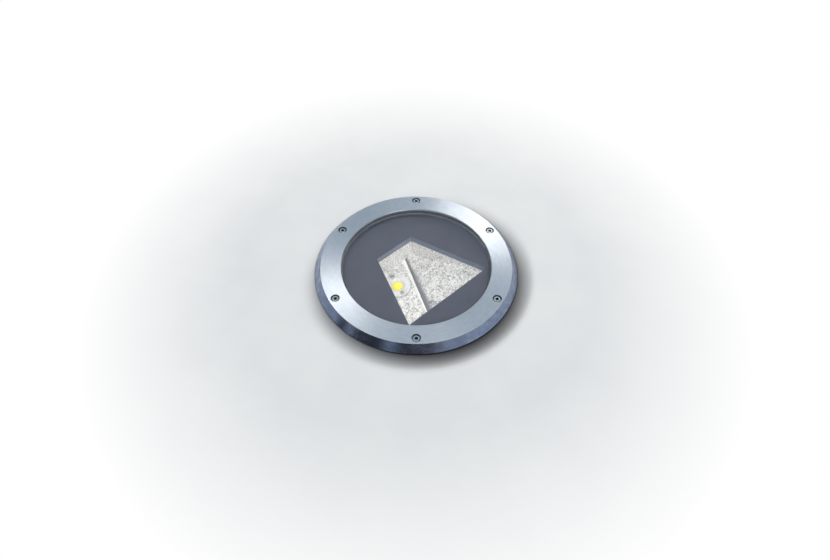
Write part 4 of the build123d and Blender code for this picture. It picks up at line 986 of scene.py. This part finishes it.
stands = {}
for name, lamp_turn, lamp_height, away, width, power in soft_lamps:
    plan, rise = math.radians(lamp_turn), math.radians(lamp_height)
    out = Vector((math.cos(rise) * math.cos(plan), math.cos(rise) * math.sin(plan), math.sin(rise)))
    stands[name] = hang_lamp(name, out, away, width, power, warm_white)
fill_stand = hang_lamp("reflector_fill", fill_out, away=1.6, width=0.8, power=19.0, colour=fill_white)
keep_light_off(fill_stand, "unlit_by_the_fill", [
    trim_ring, trim_screws, mask_plate, cover_glass, glass_gasket, ground])
keep_light_off(stands["high_lamp"], "out_of_the_glare", [main_facet, lamp_strip])

screen_away = 1.5
screen_height = (-0.12, 1.3)
screen_turns = [(-166.0, -156.0), (-149.0, -118.0), (-109.0, -66.0)]
card_height = (-0.12, 1.0)
card_turn = (-44.0, 24.0)
screen_steps = 12
cloth_mm = 300.0
screen_black, nodes, links, shader = blank_finish("screen black")
folds = mottle(nodes, links, piece_place(nodes), cloth_mm)
links.new(blend_colours(nodes, links, folds, tone(20, 20, 26), tone(34, 35, 44)), shader.inputs["Base Color"])
shader.inputs["Roughness"].default_value = 0.9
pale_card, nodes, links, shader = blank_finish("pale card")
folds = mottle(nodes, links, piece_place(nodes), cloth_mm)
card_tint = blend_colours(nodes, links, folds, (0.50, 0.56, 0.63, 1), (0.56, 0.62, 0.69, 1))
links.new(card_tint, shader.inputs["Emission Color"])
shader.inputs["Emission Strength"].default_value = 1.0
shader.inputs["Base Color"].default_value = (0.02, 0.02, 0.02, 1)
shader.inputs["Roughness"].default_value = 0.9
screens = bmesh.new()
boards = [(turns, screen_height, 0) for turns in screen_turns] + [(card_turn, card_height, 1)]
for (first, last), (low, high), slot in boards:
    before = set(screens.faces)
    side, front = screen_away * math.cos(math.radians(first)), screen_away * math.sin(math.radians(first))
    foot = screens.verts.new((side, front, ring_top_z * mm + low))
    head = screens.verts.new((side, front, ring_top_z * mm + high))
    post = screens.edges.new((foot, head))
    bmesh.ops.spin(
        screens, geom=[foot, head, post], cent=(0, 0, 0), axis=(0, 0, 1),
        angle=math.radians(last - first), steps=screen_steps)
    for face in screens.faces:
        if face not in before:
            face.material_index = slot
dark_screens = make_piece(screens, "dark_screens", [screen_black, pale_card])
dark_screens.visible_camera = False
dark_screens.visible_diffuse = False
dark_screens.visible_transmission = False
dark_screens.visible_shadow = False

room = bpy.data.worlds.new("studio room")
room.use_nodes = True
nodes, links = room.node_tree.nodes, room.node_tree.links
direction = nodes.new("ShaderNodeTexCoord").outputs["Generated"]
towards = nodes.new("ShaderNodeVectorMath")
towards.operation = "DOT_PRODUCT"
towards.inputs[1].default_value = (-0.22, 0.28, 0.85)
links.new(direction, towards.inputs[0])
facing = between(nodes, links, towards.outputs["Value"], 0.0, 1.0, -0.3, 1.0)
wall_tint = blend_colours(nodes, links, facing, (0.31, 0.37, 0.43, 1), (0.50, 0.59, 0.68, 1))
ray = nodes.new("ShaderNodeLightPath")
seen = blend_colours(nodes, links, ray.outputs["Is Camera Ray"], wall_tint, (1, 1, 1, 1))
links.new(seen, nodes["Background"].inputs["Color"])
nodes["Background"].inputs["Strength"].default_value = 1.0
bpy.context.scene.world = room
bpy.context.scene.view_settings.view_transform = "Standard"

# ---------------------------------------------------------------- Camera
# Stands where the photograph was taken from: in front, high above the ground, close with a wide lens. The
# place was worked out from the six screws and the ring's edges.
camera_turn = -0.252         # degrees round Z from straight in front
camera_height = 51.538       # degrees above the horizon
camera_roll = 0.368
camera_away = 699.4          # from the point that it looks at
camera_aim = (-1.56, -28.0, 160.0)
camera_lens = 24.7246
sensor_width = 36.0
nearest_seen = 10.0
turn, height = math.radians(camera_turn), math.radians(camera_height)
back = Vector((math.sin(turn) * math.cos(height), -math.cos(turn) * math.cos(height), math.sin(height)))
right = (-back).cross(Vector((0, 0, 1))).normalized()
up = right.cross(-back)
roll = math.radians(camera_roll)
across = math.cos(roll) * right + math.sin(roll) * up
upward = math.cos(roll) * up - math.sin(roll) * right
lens = bpy.data.cameras.new("camera")
lens.sensor_fit = "HORIZONTAL"
lens.sensor_width = sensor_width
lens.lens = camera_lens
lens.clip_start = nearest_seen * mm
camera = bpy.data.objects.new("camera", lens)
camera.matrix_world = Matrix.Translation(Vector(camera_aim) * mm + back * camera_away * mm) @ Matrix(
    (across, upward, back)).transposed().to_4x4()
bpy.context.scene.collection.objects.link(camera)
bpy.context.scene.camera = camera
